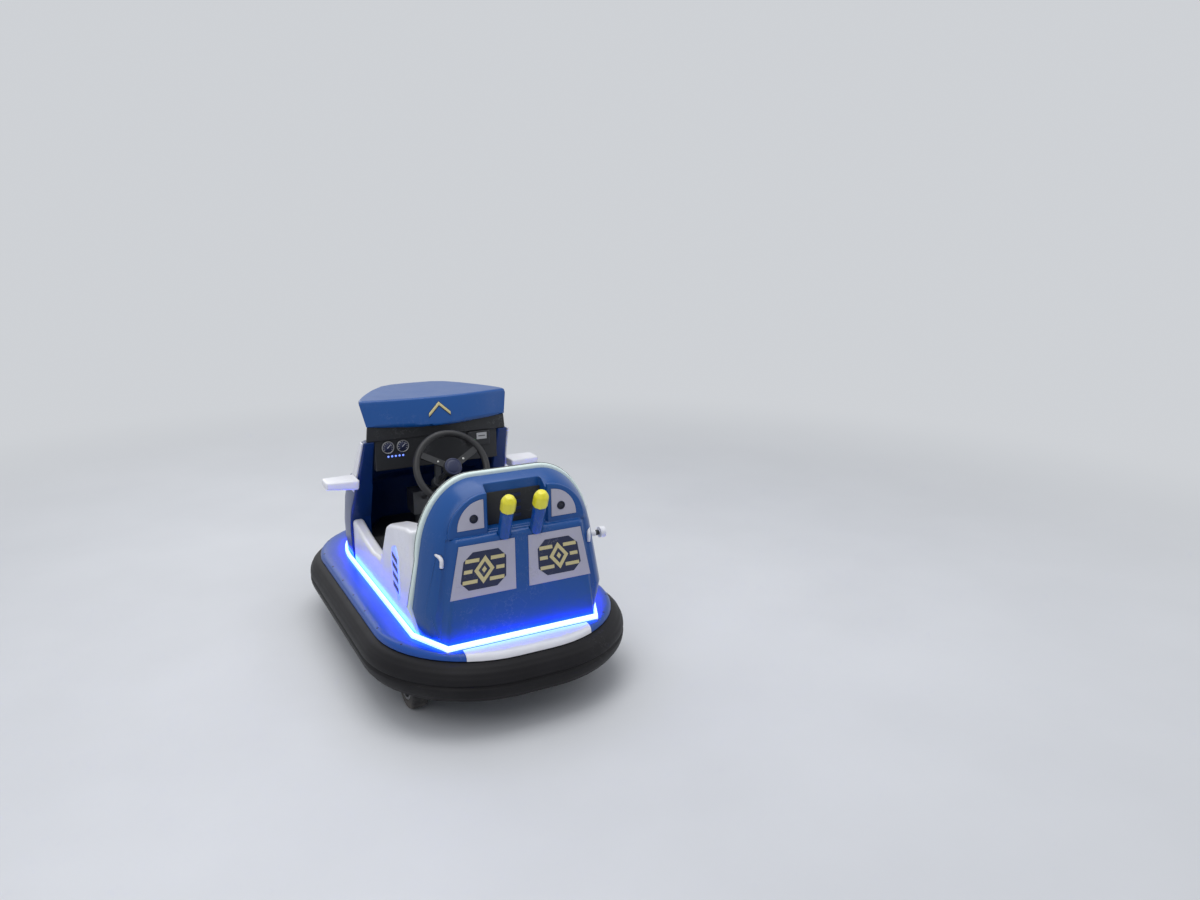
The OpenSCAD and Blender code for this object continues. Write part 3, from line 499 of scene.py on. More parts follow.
def scuff_group():
    def build(n, i):
        fine = n.noise(i["Vector"], i["Scale"], 6.0, 0.6)
        line = n.math("ABSOLUTE", n.math("SUBTRACT", fine, 0.5))
        thin = n.math("SUBTRACT", 1.0, n.ramp(line, 0.0, 0.014))
        patch = n.ramp(n.noise(i["Vector"], n.math("MULTIPLY", i["Scale"], 0.22), 3.0), 0.5, 0.72)
        return {"Mask": n.math("MULTIPLY", n.math("MULTIPLY", thin, patch), i["Amount"], clamp=True)}
    return shader_group("Scuffs", [("Vector", VECTOR, None), ("Scale", FLOAT, 20.0), ("Amount", FLOAT, 1.0)],
                        [("Mask", FLOAT, None)], build)


def dust_group():
    def build(n, i):
        xyz = n.add("ShaderNodeSeparateXYZ", {0: i["Vector"]})
        near = n.math("SUBTRACT", 1.0, n.ramp(xyz.outputs[2], 0.02, i["Reach"]))
        blotch = n.ramp(n.noise(i["Vector"], 9.0, 6.0, 0.65), 0.35, 0.75)
        return {"Mask": n.math("MULTIPLY", n.math("MULTIPLY", near, blotch), i["Amount"], clamp=True)}
    inputs = [("Vector", VECTOR, None), ("Reach", FLOAT, 0.3), ("Amount", FLOAT, 0.5)]
    return shader_group("Floor dust", inputs, [("Mask", FLOAT, None)], build)


def grain_group():
    def build(n, i):
        cells = n.add("ShaderNodeTexVoronoi", {"Vector": i["Vector"], "Scale": i["Scale"]},
                      feature="SMOOTH_F1").outputs["Distance"]
        cloud = n.noise(i["Vector"], n.math("MULTIPLY", i["Scale"], 0.35), 3.0)
        return {"Height": n.math("MULTIPLY", n.math("ADD", cells, cloud), 0.5)}
    return shader_group("Moulded grain", [("Vector", VECTOR, None), ("Scale", FLOAT, 900.0)],
                        [("Height", FLOAT, None)], build)


def shade_group():
    def build(n, i):
        wide = n.noise(i["Vector"], i["Scale"], 5.0, 0.6)
        darkest, palest = n.math("SUBTRACT", 1.0, i["Amount"]), n.math("ADD", 1.0, i["Amount"])
        value = n.add("ShaderNodeMapRange", {0: wide, 1: 0.3, 2: 0.7, 3: darkest, 4: palest}).outputs[0]
        hsv = n.add("ShaderNodeHueSaturation", {"Color": i["Color"], "Value": value})
        return {"Color": hsv.outputs[0]}
    return shader_group("Shade variation", [("Vector", VECTOR, None), ("Color", COLOUR, None),
                                            ("Scale", FLOAT, 6.0), ("Amount", FLOAT, 0.08)],
                        [("Color", COLOUR, None)], build)


def new_material(name, **fixed):
    """Empty material with its shader's constant sockets set; returns it with its nodes and shader."""
    material = bpy.data.materials.new(name)
    material.use_nodes = True
    nodes = Nodes(material.node_tree)
    shader = material.node_tree.nodes["Principled BSDF"]
    for key, value in fixed.items():
        shader.inputs[key.replace("_", " ")].default_value = value
    return material, nodes, shader


def finish_material(name, base, rough, metallic=0.0, coat=0.0, grain=(0.0, 900.0), scuff=(0.3, 26.0),
                    dust=(0.4, 0.3), variation=(0.06, 6.0), scuff_colour=None, stretch=(1, 1, 1), **fixed):
    """Surface with shade variation, fine grain, scuffs and floor dust.

    grain is (depth in mm, scale), scuff is (amount, scale), dust is (amount, reach in m),
    variation is (amount, scale)."""
    material, n, shader = new_material(name, Coat_Weight=coat, Coat_Roughness=0.12, **fixed)
    place = n.add("ShaderNodeTexCoord").outputs["Object"]
    place = n.add("ShaderNodeMapping", {"Vector": place, "Scale": stretch}).outputs[0]
    shade = n.group(shade_group(), place, Color=rgba(base), Scale=variation[1], Amount=variation[0])
    scuffs = n.group(scuff_group(), place, Scale=scuff[1], Amount=scuff[0])
    dusty = n.group(dust_group(), place, Reach=dust[1], Amount=dust[0] * 2 * sizes().dust)
    lighter = scuff_colour or tuple(min(1.0, 0.35 + 0.65 * c) for c in base)
    worn = n.mix(scuffs, shade, rgba(lighter))
    dirty = n.mix(dusty, worn, rgba(DUST))
    n.tree.links.new(dirty, shader.inputs["Base Color"])
    more = n.math("ADD", n.math("MULTIPLY", scuffs, 0.25), n.math("MULTIPLY", dusty, 0.4))
    cloud = n.math("MULTIPLY", n.noise(place, 14.0, 5.0, 0.6), 0.10)
    level = n.math("ADD", n.math("ADD", more, cloud), rough - 0.05, clamp=True)
    n.tree.links.new(level, shader.inputs["Roughness"])
    shader.inputs["Metallic"].default_value = metallic
    if grain[0] > 0:
        grains = n.group(grain_group(), place, Scale=grain[1])
        bump = n.add("ShaderNodeBump", {"Height": grains, "Distance": grain[0] / 1000, "Strength": 0.6})
        n.tree.links.new(bump.outputs[0], shader.inputs["Normal"])
    return material


def light_material(name, core, strength, glow=None):
    """Frosted lens lit from inside, a little brighter over each diode behind it.

    The camera sees the pale core and the car's surfaces are lit by the deeper glow."""
    material, n, shader = new_material(name, Roughness=0.35)
    place = n.add("ShaderNodeTexCoord").outputs["Object"]
    spots = n.add("ShaderNodeTexVoronoi", {"Vector": place, "Scale": 60.0}, feature="SMOOTH_F1")
    level = n.ramp(spots.outputs["Distance"], 0.75, 0.1)
    seen = n.mix(level, rgba(tuple(0.86 * k for k in core)), rgba(core))
    facing = n.add("ShaderNodeLayerWeight", {"Blend": 0.45}).outputs["Facing"]
    seen = n.mix(n.ramp(facing, 0.25, 0.95), seen, rgba(tuple(k ** 2.2 for k in core)))
    if glow:
        cast_light = tuple(strength * k for k in glow)
        seen = n.mix(n.add("ShaderNodeLightPath").outputs["Is Camera Ray"], rgba(cast_light), seen)
        strength = 1.0
    n.tree.links.new(seen, shader.inputs["Emission Color"])
    shader.inputs["Emission Strength"].default_value = strength
    shader.inputs["Base Color"].default_value = rgba(tuple(min(1, 0.5 + c / 2) for c in core))
    return material


def make_materials():
    """All finishes of the car, by plain name."""
    c = colours()

    def make(key, *look, **more):
        MATERIALS[key] = finish_material(*look, **more)

    paint = {"coat": 0.15, "grain": (0.02, 700.0), "variation": (0.035, 5.0), "Specular_IOR_Level": 0.35}
    gloss = {"coat": 0.3, "grain": (0.015, 800.0), "scuff": (0.35, 28.0)}
    make("shell", "Shell plastic", c.shell, 0.30, scuff=(0.16, 30.0), dust=(0.08, 0.4), **paint)
    # The cowl's finish is the shell's finish darkened: painted shade
    make("cowl", "Cowl plastic", c.cowl, 0.32, scuff=(0.14, 30.0), dust=(0.08, 0.4), **paint)
    make("deck", "Deck plastic", c.deck, 0.34, coat=0.1, grain=(0.03, 500.0), scuff=(0.22, 34.0),
         variation=(0.04, 5.0), dust=(0.08, 0.36), Specular_IOR_Level=0.35)
    make("white", "White plastic", c.white, 0.30, scuff_colour=(0.35, 0.36, 0.42), **gloss)
    make("mint", "Seat back plastic", c.mint, 0.3, scuff_colour=(0.3, 0.36, 0.38), **gloss)
    make("silver", "Silver panel", c.silver, 0.34, metallic=0.25, scuff=(0.5, 40.0),
         scuff_colour=(0.2, 0.2, 0.26))
    make("navy", "Navy plastic", c.navy, 0.45, grain=(0.05, 900.0), scuff=(0.3, 30.0))
    make("black", "Black plastic", (0.016, 0.017, 0.020), 0.5, grain=(0.06, 900.0), scuff=(0.3, 30.0))
    make("gold", "Pale gold vinyl", c.gold, 0.4, scuff=(0.5, 40.0))
    make("navy_vinyl", "Navy vinyl", c.navy, 0.35, scuff=(0.5, 40.0))
    make("yellow", "Yellow plastic", c.yellow, 0.3, coat=0.2, scuff=(0.4, 40.0),
         scuff_colour=(0.35, 0.3, 0.05))
    make("rubber", "Bumper rubber", c.rubber, 0.52, grain=(0.12, 420.0), scuff=(0.5, 16.0),
         scuff_colour=(0.05, 0.048, 0.052), dust=(0.12, 0.22), variation=(0.18, 9.0), Specular_IOR_Level=0.2)
    make("tyre", "Tyre rubber", (0.022, 0.022, 0.024), 0.72, grain=(0.1, 500.0), scuff=(0.8, 30.0),
         dust=(0.9, 0.22), variation=(0.2, 12.0))
    make("frame", "Painted frame steel", (0.035, 0.038, 0.045), 0.5, grain=(0.08, 260.0), scuff=(0.7, 30.0),
         dust=(0.8, 0.3))
    make("steel", "Bare steel", (0.42, 0.42, 0.43), 0.32, metallic=1.0, grain=(0.02, 900.0),
         scuff=(0.4, 60.0), stretch=(1, 8, 8))
    make("zinc", "Zinc plate", (0.50, 0.50, 0.48), 0.42, metallic=1.0, variation=(0.25, 40.0))
    make("cast", "Cast metal", (0.30, 0.31, 0.33), 0.5, metallic=0.9, grain=(0.15, 380.0), dust=(0.7, 0.25))
    make("glass", "Dark screen", (0.012, 0.014, 0.018), 0.08, coat=0.5, scuff=(0.15, 40.0), dust=(0.0, 0.3))
    make("seat", "Seat vinyl", (0.018, 0.018, 0.021), 0.42, grain=(0.25, 620.0), scuff=(0.25, 30.0))
    make("piping", "Piping vinyl", (0.030, 0.032, 0.038), 0.36, grain=(0.1, 900.0))
    make("webbing", "Belt webbing", (0.022, 0.023, 0.028), 0.7, grain=(0.5, 700.0), stretch=(1.0, 3.0, 1.0))
    make("green", "Green button", (0.02, 0.36, 0.06), 0.3, coat=0.3)
    make("red", "Red button", (0.42, 0.012, 0.010), 0.35, coat=0.3)
    make("grip", "Wheel grip", (0.014, 0.014, 0.016), 0.48, grain=(0.2, 900.0))
    MATERIALS["light"] = light_material("Light strip", (0.72, 0.97, 1.0), sizes().light_power, c.light)
    MATERIALS["lamp_white"] = light_material("Headlamp lens", (0.75, 0.86, 1.0), 0.28)
    MATERIALS["lamp_blue"] = light_material("Side lamp lens", (0.05, 0.20, 1.0), 2.0, (0.02, 0.08, 1.0))


# Pieces

class PieceOperator:
    """What the operators share: each makes its pieces in build()."""
    bl_options = {"REGISTER", "UNDO"}

    def execute(self, context):
        self.build()
        return {"FINISHED"}


ROUNDED = [
    # node, edge rounding in mm, finish
    ("deck", 2.0, "deck"),
    ("deck_insert_rear", 0.8, "white"),
    ("deck_insert_front", 0.8, "white"),
    ("side_body_left", 14.0, "white"),
    ("side_body_right", 14.0, "white"),
    ("side_lamps", 1.5, "lamp_blue"),
    ("seat_back_panel", 8.0, "mint"),
    ("tail_shell", 6.0, "shell"),
    ("lower_panels", 0.8, "silver"),
    ("upper_panels", 0.8, "silver"),
    ("recess_lining", 0.6, "black"),
    ("tail_posts", 4.0, "shell"),
    ("tail_caps", 6.0, "yellow"),
    ("marker_lamp", 1.5, "white"),
    ("seat_base", 5.0, "navy"),
    ("footwell_tub", 3.0, "navy"),
    ("floor_pan", 2.0, "black"),
    ("drive_cover", 8.0, "black"),
    # The cowl's finish carries painted shade: the shell's blue darkened
    ("front_cowl", 8.0, "cowl"),
    ("nose_panel", 2.0, "white"),
    ("cheek_panels", 2.0, "white"),
    ("stub_wings", 9.0, "white"),
    ("windscreen", 1.5, "glass"),
    ("dash_panel", 5.0, "black"),
    ("visor", 9.0, "shell"),
    ("pedal", 2.0, "steel"),
]

PAINTED = [
    # node, finish
    ("bumper_band", "frame"), ("chassis_rails", "frame"), ("chassis_crossbars", "frame"),
    ("chassis_outriggers", "frame"), ("turntable_posts", "frame"), ("lashing_eyes", "zinc"),
    ("battery_pack", "black"), ("turntable_plate", "frame"), ("steering_gearbox", "cast"),
    ("column_bracket", "frame"), ("axle_brackets", "frame"), ("rear_axle", "steel"),
    ("steering_column", "steel"), ("drive_fork", "frame"), ("front_axle", "steel"), ("hub_motor", "cast"),
    ("rear_rim_left", "cast"), ("rear_rim_right", "cast"),
]


class BUMPERCAR_OT_mouldings(PieceOperator, bpy.types.Operator):
    """Body mouldings, panels and caps with their edges rounded"""
    bl_idname = "bumpercar.mouldings"
    bl_label = "Mouldings"

    def build(self):
        for node, width, finish in ROUNDED:
            piece = rounded_copy(node, width / 1000 * sizes().edge / EDGE_DEFAULT)
            dress(piece, finish, node)


class BUMPERCAR_OT_metal(PieceOperator, bpy.types.Operator):
    """Finishes of the frame, axles and rims, which keep their solids"""
    bl_idname = "bumpercar.metal"
    bl_label = "Frame and running gear"

    def build(self):
        for node, finish in PAINTED:
            paint_node(node, finish)


def bumper_outline(inset):
    """Plan outline of the bumper drawn in by inset: four quarter circles joined by straights."""
    r = CORNER_R - inset
    cx, cy = BUMPER_HW - CORNER_R, BUMPER_HL - CORNER_R
    a = np.linspace(0, np.pi / 2, 25)
    c, s = np.cos(a), np.sin(a)
    quarters = [(cx + r * c, cy + r * s), (-cx - r * s, cy + r * c), (-cx - r * c, -cy - r * s),
                (cx + r * s, -cy - r * c)]
    return np.vstack([np.stack(q, -1) for q in quarters])


class BUMPERCAR_OT_bumper(PieceOperator, bpy.types.Operator):
    """Rubber bumper with its groove, moulded ridges and the screws that hold its lip under the deck"""
    bl_idname = "bumpercar.bumper"
    bl_label = "Bumper"

    def build(self):
        def ridged(angle, depth, width, first, second):
            """Share of the radius left at an angle, with a shallow channel at two angles in degrees."""
            d = np.degrees(angle)
            dips = [depth * np.exp(-((d - at) / width) ** 2) for at in (first, second)]
            return 1 - dips[0] - dips[1]

        a = np.radians(np.linspace(-90, 0, 19))
        ridge = ridged(a, 0.028, 5, -38, -66)
        lower = np.stack([-0.060 + 0.0598 * ridge * np.cos(a), 0.060 + 0.060 * ridge * np.sin(a)], -1)
        b = -a[::-1]
        ridge = ridged(b, 0.026, 4, 26, 46)
        upper = np.stack([-0.062 + 0.0618 * ridge * np.cos(b), 0.080 + 0.062 * ridge * np.sin(b)], -1)
        groove = np.array([[-0.0006, 0.063], [-0.003, 0.0655], [-0.0065, 0.068], [-0.0075, 0.071],
                           [-0.0065, 0.074], [-0.003, 0.0765], [-0.0006, 0.079]])
        section = np.vstack([[[-BUMPER_D, 0.0]], lower, groove, upper, [[-BUMPER_D, BUMPER_H]]])
        section = section + [0, low("bumper_ring")[2]]
        path = resample(bumper_outline(0), 0.018)
        ring = grid_object("bumper_rubber", swept_ring(path, section), wrap_u=True, wrap_v=True)
        dress(ring, "rubber", "bumper_ring")
        at = resample(bumper_outline(0.062), 0.165)
        at = at[(np.abs(at[:, 0]) > 0.30) | (np.abs(at[:, 1]) < BUMPER_HL - 0.2)]
        at = xyz(*at.T, low("deck")[2] + 0.0232)
        screws = studs("deck_screws", at, [[0, 0, 1]], 0.0050, 0.0020)
        dress(screws, "navy")


class BUMPERCAR_OT_light_strip(PieceOperator, bpy.types.Operator):
    """Lit strip round the foot of the body: a frosted lens in a dark carrier"""
    bl_idname = "bumpercar.light_strip"
    bl_label = "Light strip"

    def build(self):
        z0 = DECK_Z - 0.0028
        w = LIGHT_OUT - 0.002
        a = np.linspace(0, np.pi, 13)
        dome = xyz(0.002 + w / 2 + (w / 2 - 0.001) * np.cos(a), z0 + 0.012 + 0.0085 * np.sin(a) ** 0.8)
        section = np.vstack([[[LIGHT_OUT - 0.001, z0 + 0.0032]], dome, [[0.003, z0 + 0.0032]]])
        lens = grid_object("light_lens", outline_ring(section), wrap_u=True, wrap_v=True)
        dress(lens, "light", "light_strip")
        base = np.array([[0.0022, z0], [LIGHT_OUT - 0.0002, z0], [LIGHT_OUT - 0.0002, z0 + 0.0034],
                         [0.0022, z0 + 0.0034]])
        carrier = grid_object("light_carrier", outline_ring(base), wrap_u=True, wrap_v=True, smooth=False)
        dress(carrier, "white")


def panel_point(u, v, corners):
    """Point of a four-cornered panel: the corners blended by u across and v up."""
    ll, lr, ur, ul = [np.asarray(c, float) for c in corners]
    u, v = np.asarray(u, float)[..., None], np.asarray(v, float)[..., None]
    return (1 - v) * ((1 - u) * ll + u * lr) + v * ((1 - u) * ul + u * ur)


def slabs(name, outlines, to_space, lo, hi):
    """Thin plates from outlines (k, n, 2), each carried to space between depths lo and hi."""
    outlines = np.asarray(outlines, float)
    k, n = outlines.shape[:2]
    under = to_space(outlines[..., 0], lo, outlines[..., 1])
    over = to_space(outlines[..., 0], hi, outlines[..., 1])
    points = np.stack([under, over], 1).reshape(-1, 3)
    faces = []
    for base in range(0, 2 * n * k, 2 * n):
        faces.append([base + n + i for i in range(n)])
        faces.append([base + i for i in range(n)][::-1])
        faces += [[base + i, base + (i + 1) % n, base + n + (i + 1) % n, base + n + i] for i in range(n)]
    obj = mesh_object(name, points, faces, smooth=False)
    outward(obj.data)
    return obj


def rectangle(x0, x1, z0, z1):
    return [[x0, z0], [x1, z0], [x1, z1], [x0, z1]]


def both(outlines):
    """Outlines and their mirror images in x."""
    outlines = np.asarray(outlines, float)
    return np.concatenate([outlines, outlines[:, ::-1] * [-1, 1]])


LOWER_PANEL = [(0.024, 0.168), (BODY_HW - 0.077, 0.168), (BODY_HW - 0.114, LEDGE_H - 0.020),
               (0.024, LEDGE_H - 0.020)]
STICKER = [(0.30, 0.14), (0.74, 0.14), (0.88, 0.30), (0.88, 0.70), (0.74, 0.86), (0.30, 0.86), (0.16, 0.70),
           (0.16, 0.30)]


class BUMPERCAR_OT_stickers(PieceOperator, bpy.types.Operator):
    """Vinyl stickers on the lower tail panels: a dark eight-sided field, a gold diamond and side bars"""
    bl_idname = "bumpercar.stickers"
    bl_label = "Tail stickers"

    def build(self):
        def on_panel(points):
            return panel_point(*np.array(points).T, LOWER_PANEL)

        navy = slabs("sticker_field", both([on_panel(STICKER)]), tail_points, 0.0015, 0.0024)
        dress(navy, "navy_vinyl")
        diamond = np.array([(0, -1), (1, 0), (0, 1), (-1, 0)])
        middle = np.array([0.52, 0.5])
        bars = []
        for k in range(4):
            a, b = diamond[k], diamond[(k + 1) % 4]
            ring = [a * 1.0, b * 1.0, b * 0.58, a * 0.58]
            bars.append(on_panel([middle + q * [0.165, 0.27] for q in ring]))
        bars.append(on_panel(middle + diamond * [0.040, 0.066]))
        for v in (0.30, 0.50, 0.70):
            inner = 0.195 - 0.165 * abs(v - 0.5) / 0.27 * 0.8
            for side in (-1, 1):
                ends = [0.52 + side * max(inner, 0.06), 0.52 + side * 0.33]
                bars.append(on_panel(rectangle(min(ends), max(ends), v - 0.035, v + 0.035)))
        gold = slabs("sticker_bars", both(bars), tail_points, 0.0020, 0.0029)
        dress(gold, "gold")


def revolved(profile, sides):
    """Grid of a profile (radius, height) turned about z."""
    profile = np.asarray(profile, float)
    a = 2 * np.pi * np.arange(sides) / sides
    r, h = profile[:, 0], profile[:, 1]
    return xyz(np.cos(a)[:, None] * r, np.sin(a)[:, None] * r, h)


def axes_to(directions):
    """Rotation matrices (k, 3, 3) whose third column is each direction."""
    w = np.asarray(directions, float)
    w = w / np.linalg.norm(w, axis=-1, keepdims=True)
    near_x = np.abs(w[:, :1]) > 0.9
    ref = np.where(near_x, [[0.0, 1.0, 0.0]], [[1.0, 0.0, 0.0]])
    u = ref - w * np.sum(ref * w, -1, keepdims=True)
    u /= np.linalg.norm(u, axis=-1, keepdims=True)
    return np.stack([u, np.cross(w, u), w], -1)


def lathed(name, profile, places, directions, sides=32, smooth=True):
    """One turned shape set at each place, its axis along the direction there."""
    places = np.atleast_2d(np.asarray(places, float))
    directions = np.broadcast_to(np.atleast_2d(np.asarray(directions, float)), places.shape)
    grid = revolved(profile, sides)
    nu, nv = grid.shape[:2]
    points = np.einsum("kij,uvj->kuvi", axes_to(directions), grid) + places[:, None, None]
    quads = grid_quads(nu, nv, True, False)
    faces = (np.arange(len(places))[:, None, None] * nu * nv + quads).reshape(-1, 4)
    obj = mesh_object(name, points, faces, smooth)
    merge(obj.data)
    return obj


def merge(mesh, distance=2e-6):
    """Joins doubled points, such as those of a pole, and turns all faces outwards."""
    bm = bmesh.new()
    bm.from_mesh(mesh)
    bmesh.ops.remove_doubles(bm, verts=bm.verts, dist=distance)
    bmesh.ops.recalc_face_normals(bm, faces=bm.faces)
    bm.to_mesh(mesh)
    bm.free()


def studs(name, places, directions, radius, height, sides=10):
    """Low domed heads, each sunk a little in its seat."""
    t = np.linspace(0, np.pi / 2, 4)
    profile = np.vstack([np.stack([radius * np.sin(t), height * (0.35 + 0.65 * np.cos(t))], -1),
                         [[radius, -0.002], [0, -0.002]]])
    return lathed(name, profile, places, directions, sides)


def hex_heads(name, places, directions, radius, height):
    """Six-sided bolt heads with a bevelled top."""
    profile = [[0, height], [radius * 0.82, height], [radius, height * 0.8], [radius, -0.001], [0, -0.001]]
    return lathed(name, profile, places, directions, 6, smooth=False)


def tube(name, path, radius, up=(0, 0, 1), closed=False, sides=14, flat=1.0):
    """Bar along a path: an ellipse across the path, whose second axis lies nearest to up."""
    path = np.asarray(path, float)
    if closed:
        t = np.roll(path, -1, 0) - np.roll(path, 1, 0)
    else:
        t = np.gradient(path, axis=0)
    t /= np.linalg.norm(t, axis=1, keepdims=True)
    side = np.cross(t, np.asarray(up, float))
    side /= np.linalg.norm(side, axis=1, keepdims=True)
    top = np.cross(side, t)
    a = 2 * np.pi * np.arange(sides) / sides
    r = np.broadcast_to(np.asarray(radius, float), (len(path),))[:, None, None]
    across = np.cos(a)[:, None] * side[:, None] + flat * np.sin(a)[:, None] * top[:, None]
    grid = path[:, None] + r * across
    return grid_object(name, grid, wrap_u=closed, wrap_v=True, caps=not closed)


def eased(points, rounds):
    """Path with its corners cut again and again at a quarter and three quarters of each side."""
    p = np.asarray(points, float)
    for _ in range(rounds):
        a, b = p[:-1], p[1:]
        cut = np.stack([0.75 * a + 0.25 * b, 0.25 * a + 0.75 * b], 1).reshape(-1, p.shape[1])
        p = np.vstack([p[:1], cut, p[-1:]])
    return p


def soft_box(name, centre, half, power, n=28):
    """Box with full round edges: x = a c(v) c(u), y = b c(v) s(u), z = c s(v), where c and s are cosine and
    sine raised to a small power with their sign kept."""
    u = np.linspace(-np.pi, np.pi, n, endpoint=False)[:, None]
    v = np.linspace(-np.pi / 2, np.pi / 2, n // 2 + 1)[None]
    cu, su = signed_power(np.cos(u), power), signed_power(np.sin(u), power)
    cv, sv = signed_power(np.clip(np.cos(v), 0, 1), power), signed_power(np.sin(v), power)
    grid = xyz(half[0] * cv * cu, half[1] * cv * su, half[2] * sv)
    obj = grid_object(name, grid + np.asarray(centre), wrap_u=True)
    merge(obj.data, 1e-5)
    return obj


def tree_of(obj):
    return BVHTree.FromObject(obj, bpy.context.evaluated_depsgraph_get())


def cast(tree, starts, direction):
    """Where rays from the start points first meet a surface; a ray that misses keeps its start."""
    starts = np.asarray(starts, float)
    way = Vector(direction).normalized()
    hits = [tree.ray_cast(Vector(p), way)[0] for p in starts.reshape(-1, 3)]
    flat = [tuple(h) if h else tuple(p) for h, p in zip(hits, starts.reshape(-1, 3))]
    return np.array(flat).reshape(starts.shape)


def wrapped(name, starts, direction, tree, lift=0.0006):
    """Thin sheet laid on a surface along a direction and lifted off it a little."""
    way = np.asarray(direction, float)
    way = way / np.linalg.norm(way)
    grid = cast(tree, starts, direction) - way * lift
    obj = mesh_object(name, grid, grid_quads(*grid.shape[:2], False, False))
    side = np.sign(np.dot(np.array(obj.data.polygons[0].normal), way))
    if side > 0:
        obj.data.flip_normals()
    return thickened(obj, VINYL_T)


class BUMPERCAR_OT_tail_fittings(PieceOperator, bpy.types.Operator):
    """Bent grab handles, small round vents, the recess grille and the marker lamp's neck"""
    bl_idname = "bumpercar.tail_fittings"
    bl_label = "Tail fittings"

    def build(self):
        corners = np.array([[BODY_HW - 0.046, RIM_Y + 0.047, DECK_Z + 0.320],
                            [BODY_HW - 0.066, RIM_Y + 0.102, DECK_Z + 0.310],
                            [BODY_HW - 0.065, RIM_Y + 0.096, DECK_Z + 0.275]])
        path = resample(eased(corners, 3), 0.004, closed=False)
        bar = tube("grab_left", path, 0.0069, up=(1, 0.2, 0))
        bars = joined("grab_bars", [bar, mirrored(bar, "grab_right")])
        merge(bars.data)
        dress(bars, "white", "grab_handles", slot="white_metal")
        x, up = VENT_X, VENT_UP
        seat = 0.011 - UPPER_STEP + 0.002
        face = tail_points([x, -x], seat, up)
        normal = tail_points(0, 1, 0) - tail_points(0, 0, 0)
        ring = [[0.0125, 0], [0.0150, 0], [0.0150, 0.0012], [0.0140, 0.0022], [0.0125, 0.0020]]
        rings = lathed("vent_rings", ring + ring[:1], face, normal, 28)
        dress(rings, "navy")
        # A black disc behind the slats, not an opening: painted shade for each vent's dark hollow
        disc = [[0, 0.0006], [0.0124, 0.0006], [0.0124, -0.0005], [0, -0.0005]]
        dress(lathed("vent_shade_discs", disc, face, normal, 28), "black")
        slats = []
        for s in (-1, 1):
            for dz in (-0.006, 0, 0.006):
                w = 0.0105 - abs(dz) * 0.45
                slats.append(rectangle(s * x - w, s * x + w, up + dz - 0.0009, up + dz + 0.0009))
        obj = slabs("vent_slats", slats, tail_points, seat, seat + 0.0016)
        dress(obj, "navy")
        floor = -UPPER_STEP - RECESS_D + 0.004
        slots = []
        for row in range(4):
            z = LEDGE_H + 0.030 + row * 0.024
            slots.append(rectangle(-0.030, 0.030, z, z + 0.010))
        obj = slabs("recess_grille", slots, tail_points, floor - 0.001, floor + 0.0035)
        dress(obj, "navy")
        lamp_lo, lamp_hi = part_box("marker_lamp")
        z = (lamp_lo[2] + lamp_hi[2]) / 2
        y = (lamp_lo[1] + lamp_hi[1]) / 2
        neck = [[0.0088, -0.012], [0.0100, -0.010], [0.0100, 0.010], [0.0088, 0.012]]
        neck = lathed("marker_neck", neck + neck[:1], [[lamp_lo[0] + 0.034, y, z]], [[1, 0, 0]], 24)
        dress(neck, "black")
        lens = [[0, 0.0], [0.006, -0.0008], [0.012, -0.0006], [0.0165, 0.0008], [0.0165, 0.003], [0, 0.003]]
        lens = lathed("marker_lens", lens, [[lamp_lo[0] + 0.0006, y, z]], [[1, 0, 0]], 32)
        dress(lens, "lamp_white")


def rim_outline(grow, n=24):
    """Outline of the seat back panel in x and z: feet, leaning sides and two elliptical shoulders."""
    cx, cz = 0.120, RIM_TOP - RIM_ROUND
    hw = BODY_HW + 0.025
    a = np.linspace(0, np.pi / 2, n)
    right = np.stack([cx + (hw - 0.033 - cx + grow) * np.cos(a), cz + (RIM_ROUND + grow) * np.sin(a)], -1)
    side = [[hw + grow, DECK_Z + 0.113]]
    half = np.vstack([side, right])
    return np.vstack([half, half[::-1] * [-1, 1]])


class BUMPERCAR_OT_edge_trim(PieceOperator, bpy.types.Operator):
    """Black rubber edging on the front edge of the seat back panel, and its moulded seam"""
    bl_idname = "bumpercar.edge_trim"
    bl_label = "Seat back edging"

    def build(self):
        outline = resample(rim_outline(-0.007), 0.012, closed=False)
        keep = outline[outline[:, 1] > DECK_Z + 0.385]
        path = xyz(keep[:, 0], PANEL_Y - 0.0015, keep[:, 1])
        trim = tube("edge_trim", path, 0.0055, up=(0, 1, 0))
        dress(trim, "black")
        outline = resample(rim_outline(0.0002), 0.012, closed=False)
        keep = outline[outline[:, 1] > DECK_Z + 0.05]
        path = xyz(keep[:, 0], RIM_Y - 0.0125, keep[:, 1])
        seam = tube("rim_seam", path, 0.0011, up=(0, 1, 0), sides=8)
        dress(seam, "black")


class BUMPERCAR_OT_side_lamps(PieceOperator, bpy.types.Operator):
    """Slanted dark bars over the lit side lamps"""
    bl_idname = "bumpercar.side_lamps"
    bl_label = "Side lamp bars"

    def build(self):
        y0, z0 = low("side_lamps")[1], low("side_lamps")[2]
        bars = []
        for z in (0.040, 0.078, 0.116, 0.150):
            bars.append([[y0 + 0.020, z0 + z + 0.004], [y0 + 0.078, z0 + z - 0.010],
                         [y0 + 0.078, z0 + z + 0.008], [y0 + 0.020, z0 + z + 0.022]])

        def place(side):
            return lambda y, out, z: xyz(side * (BODY_HW + out), y, z)

        parts = [slabs("bars_" + name, bars, place(side), 0.001, 0.0030) for side, name in SIDES]
        dress(joined("lamp_bars", parts), "navy")


def nose_at(x, hw, front_y, power=2.6):
    """y of the nose curve at x: the superellipse |x / hw|^p + |y / depth|^p = 1, before its middle."""
    return NOSE_MID_Y - (NOSE_MID_Y - front_y) * (1 - np.abs(x / hw) ** power) ** (1 / power)


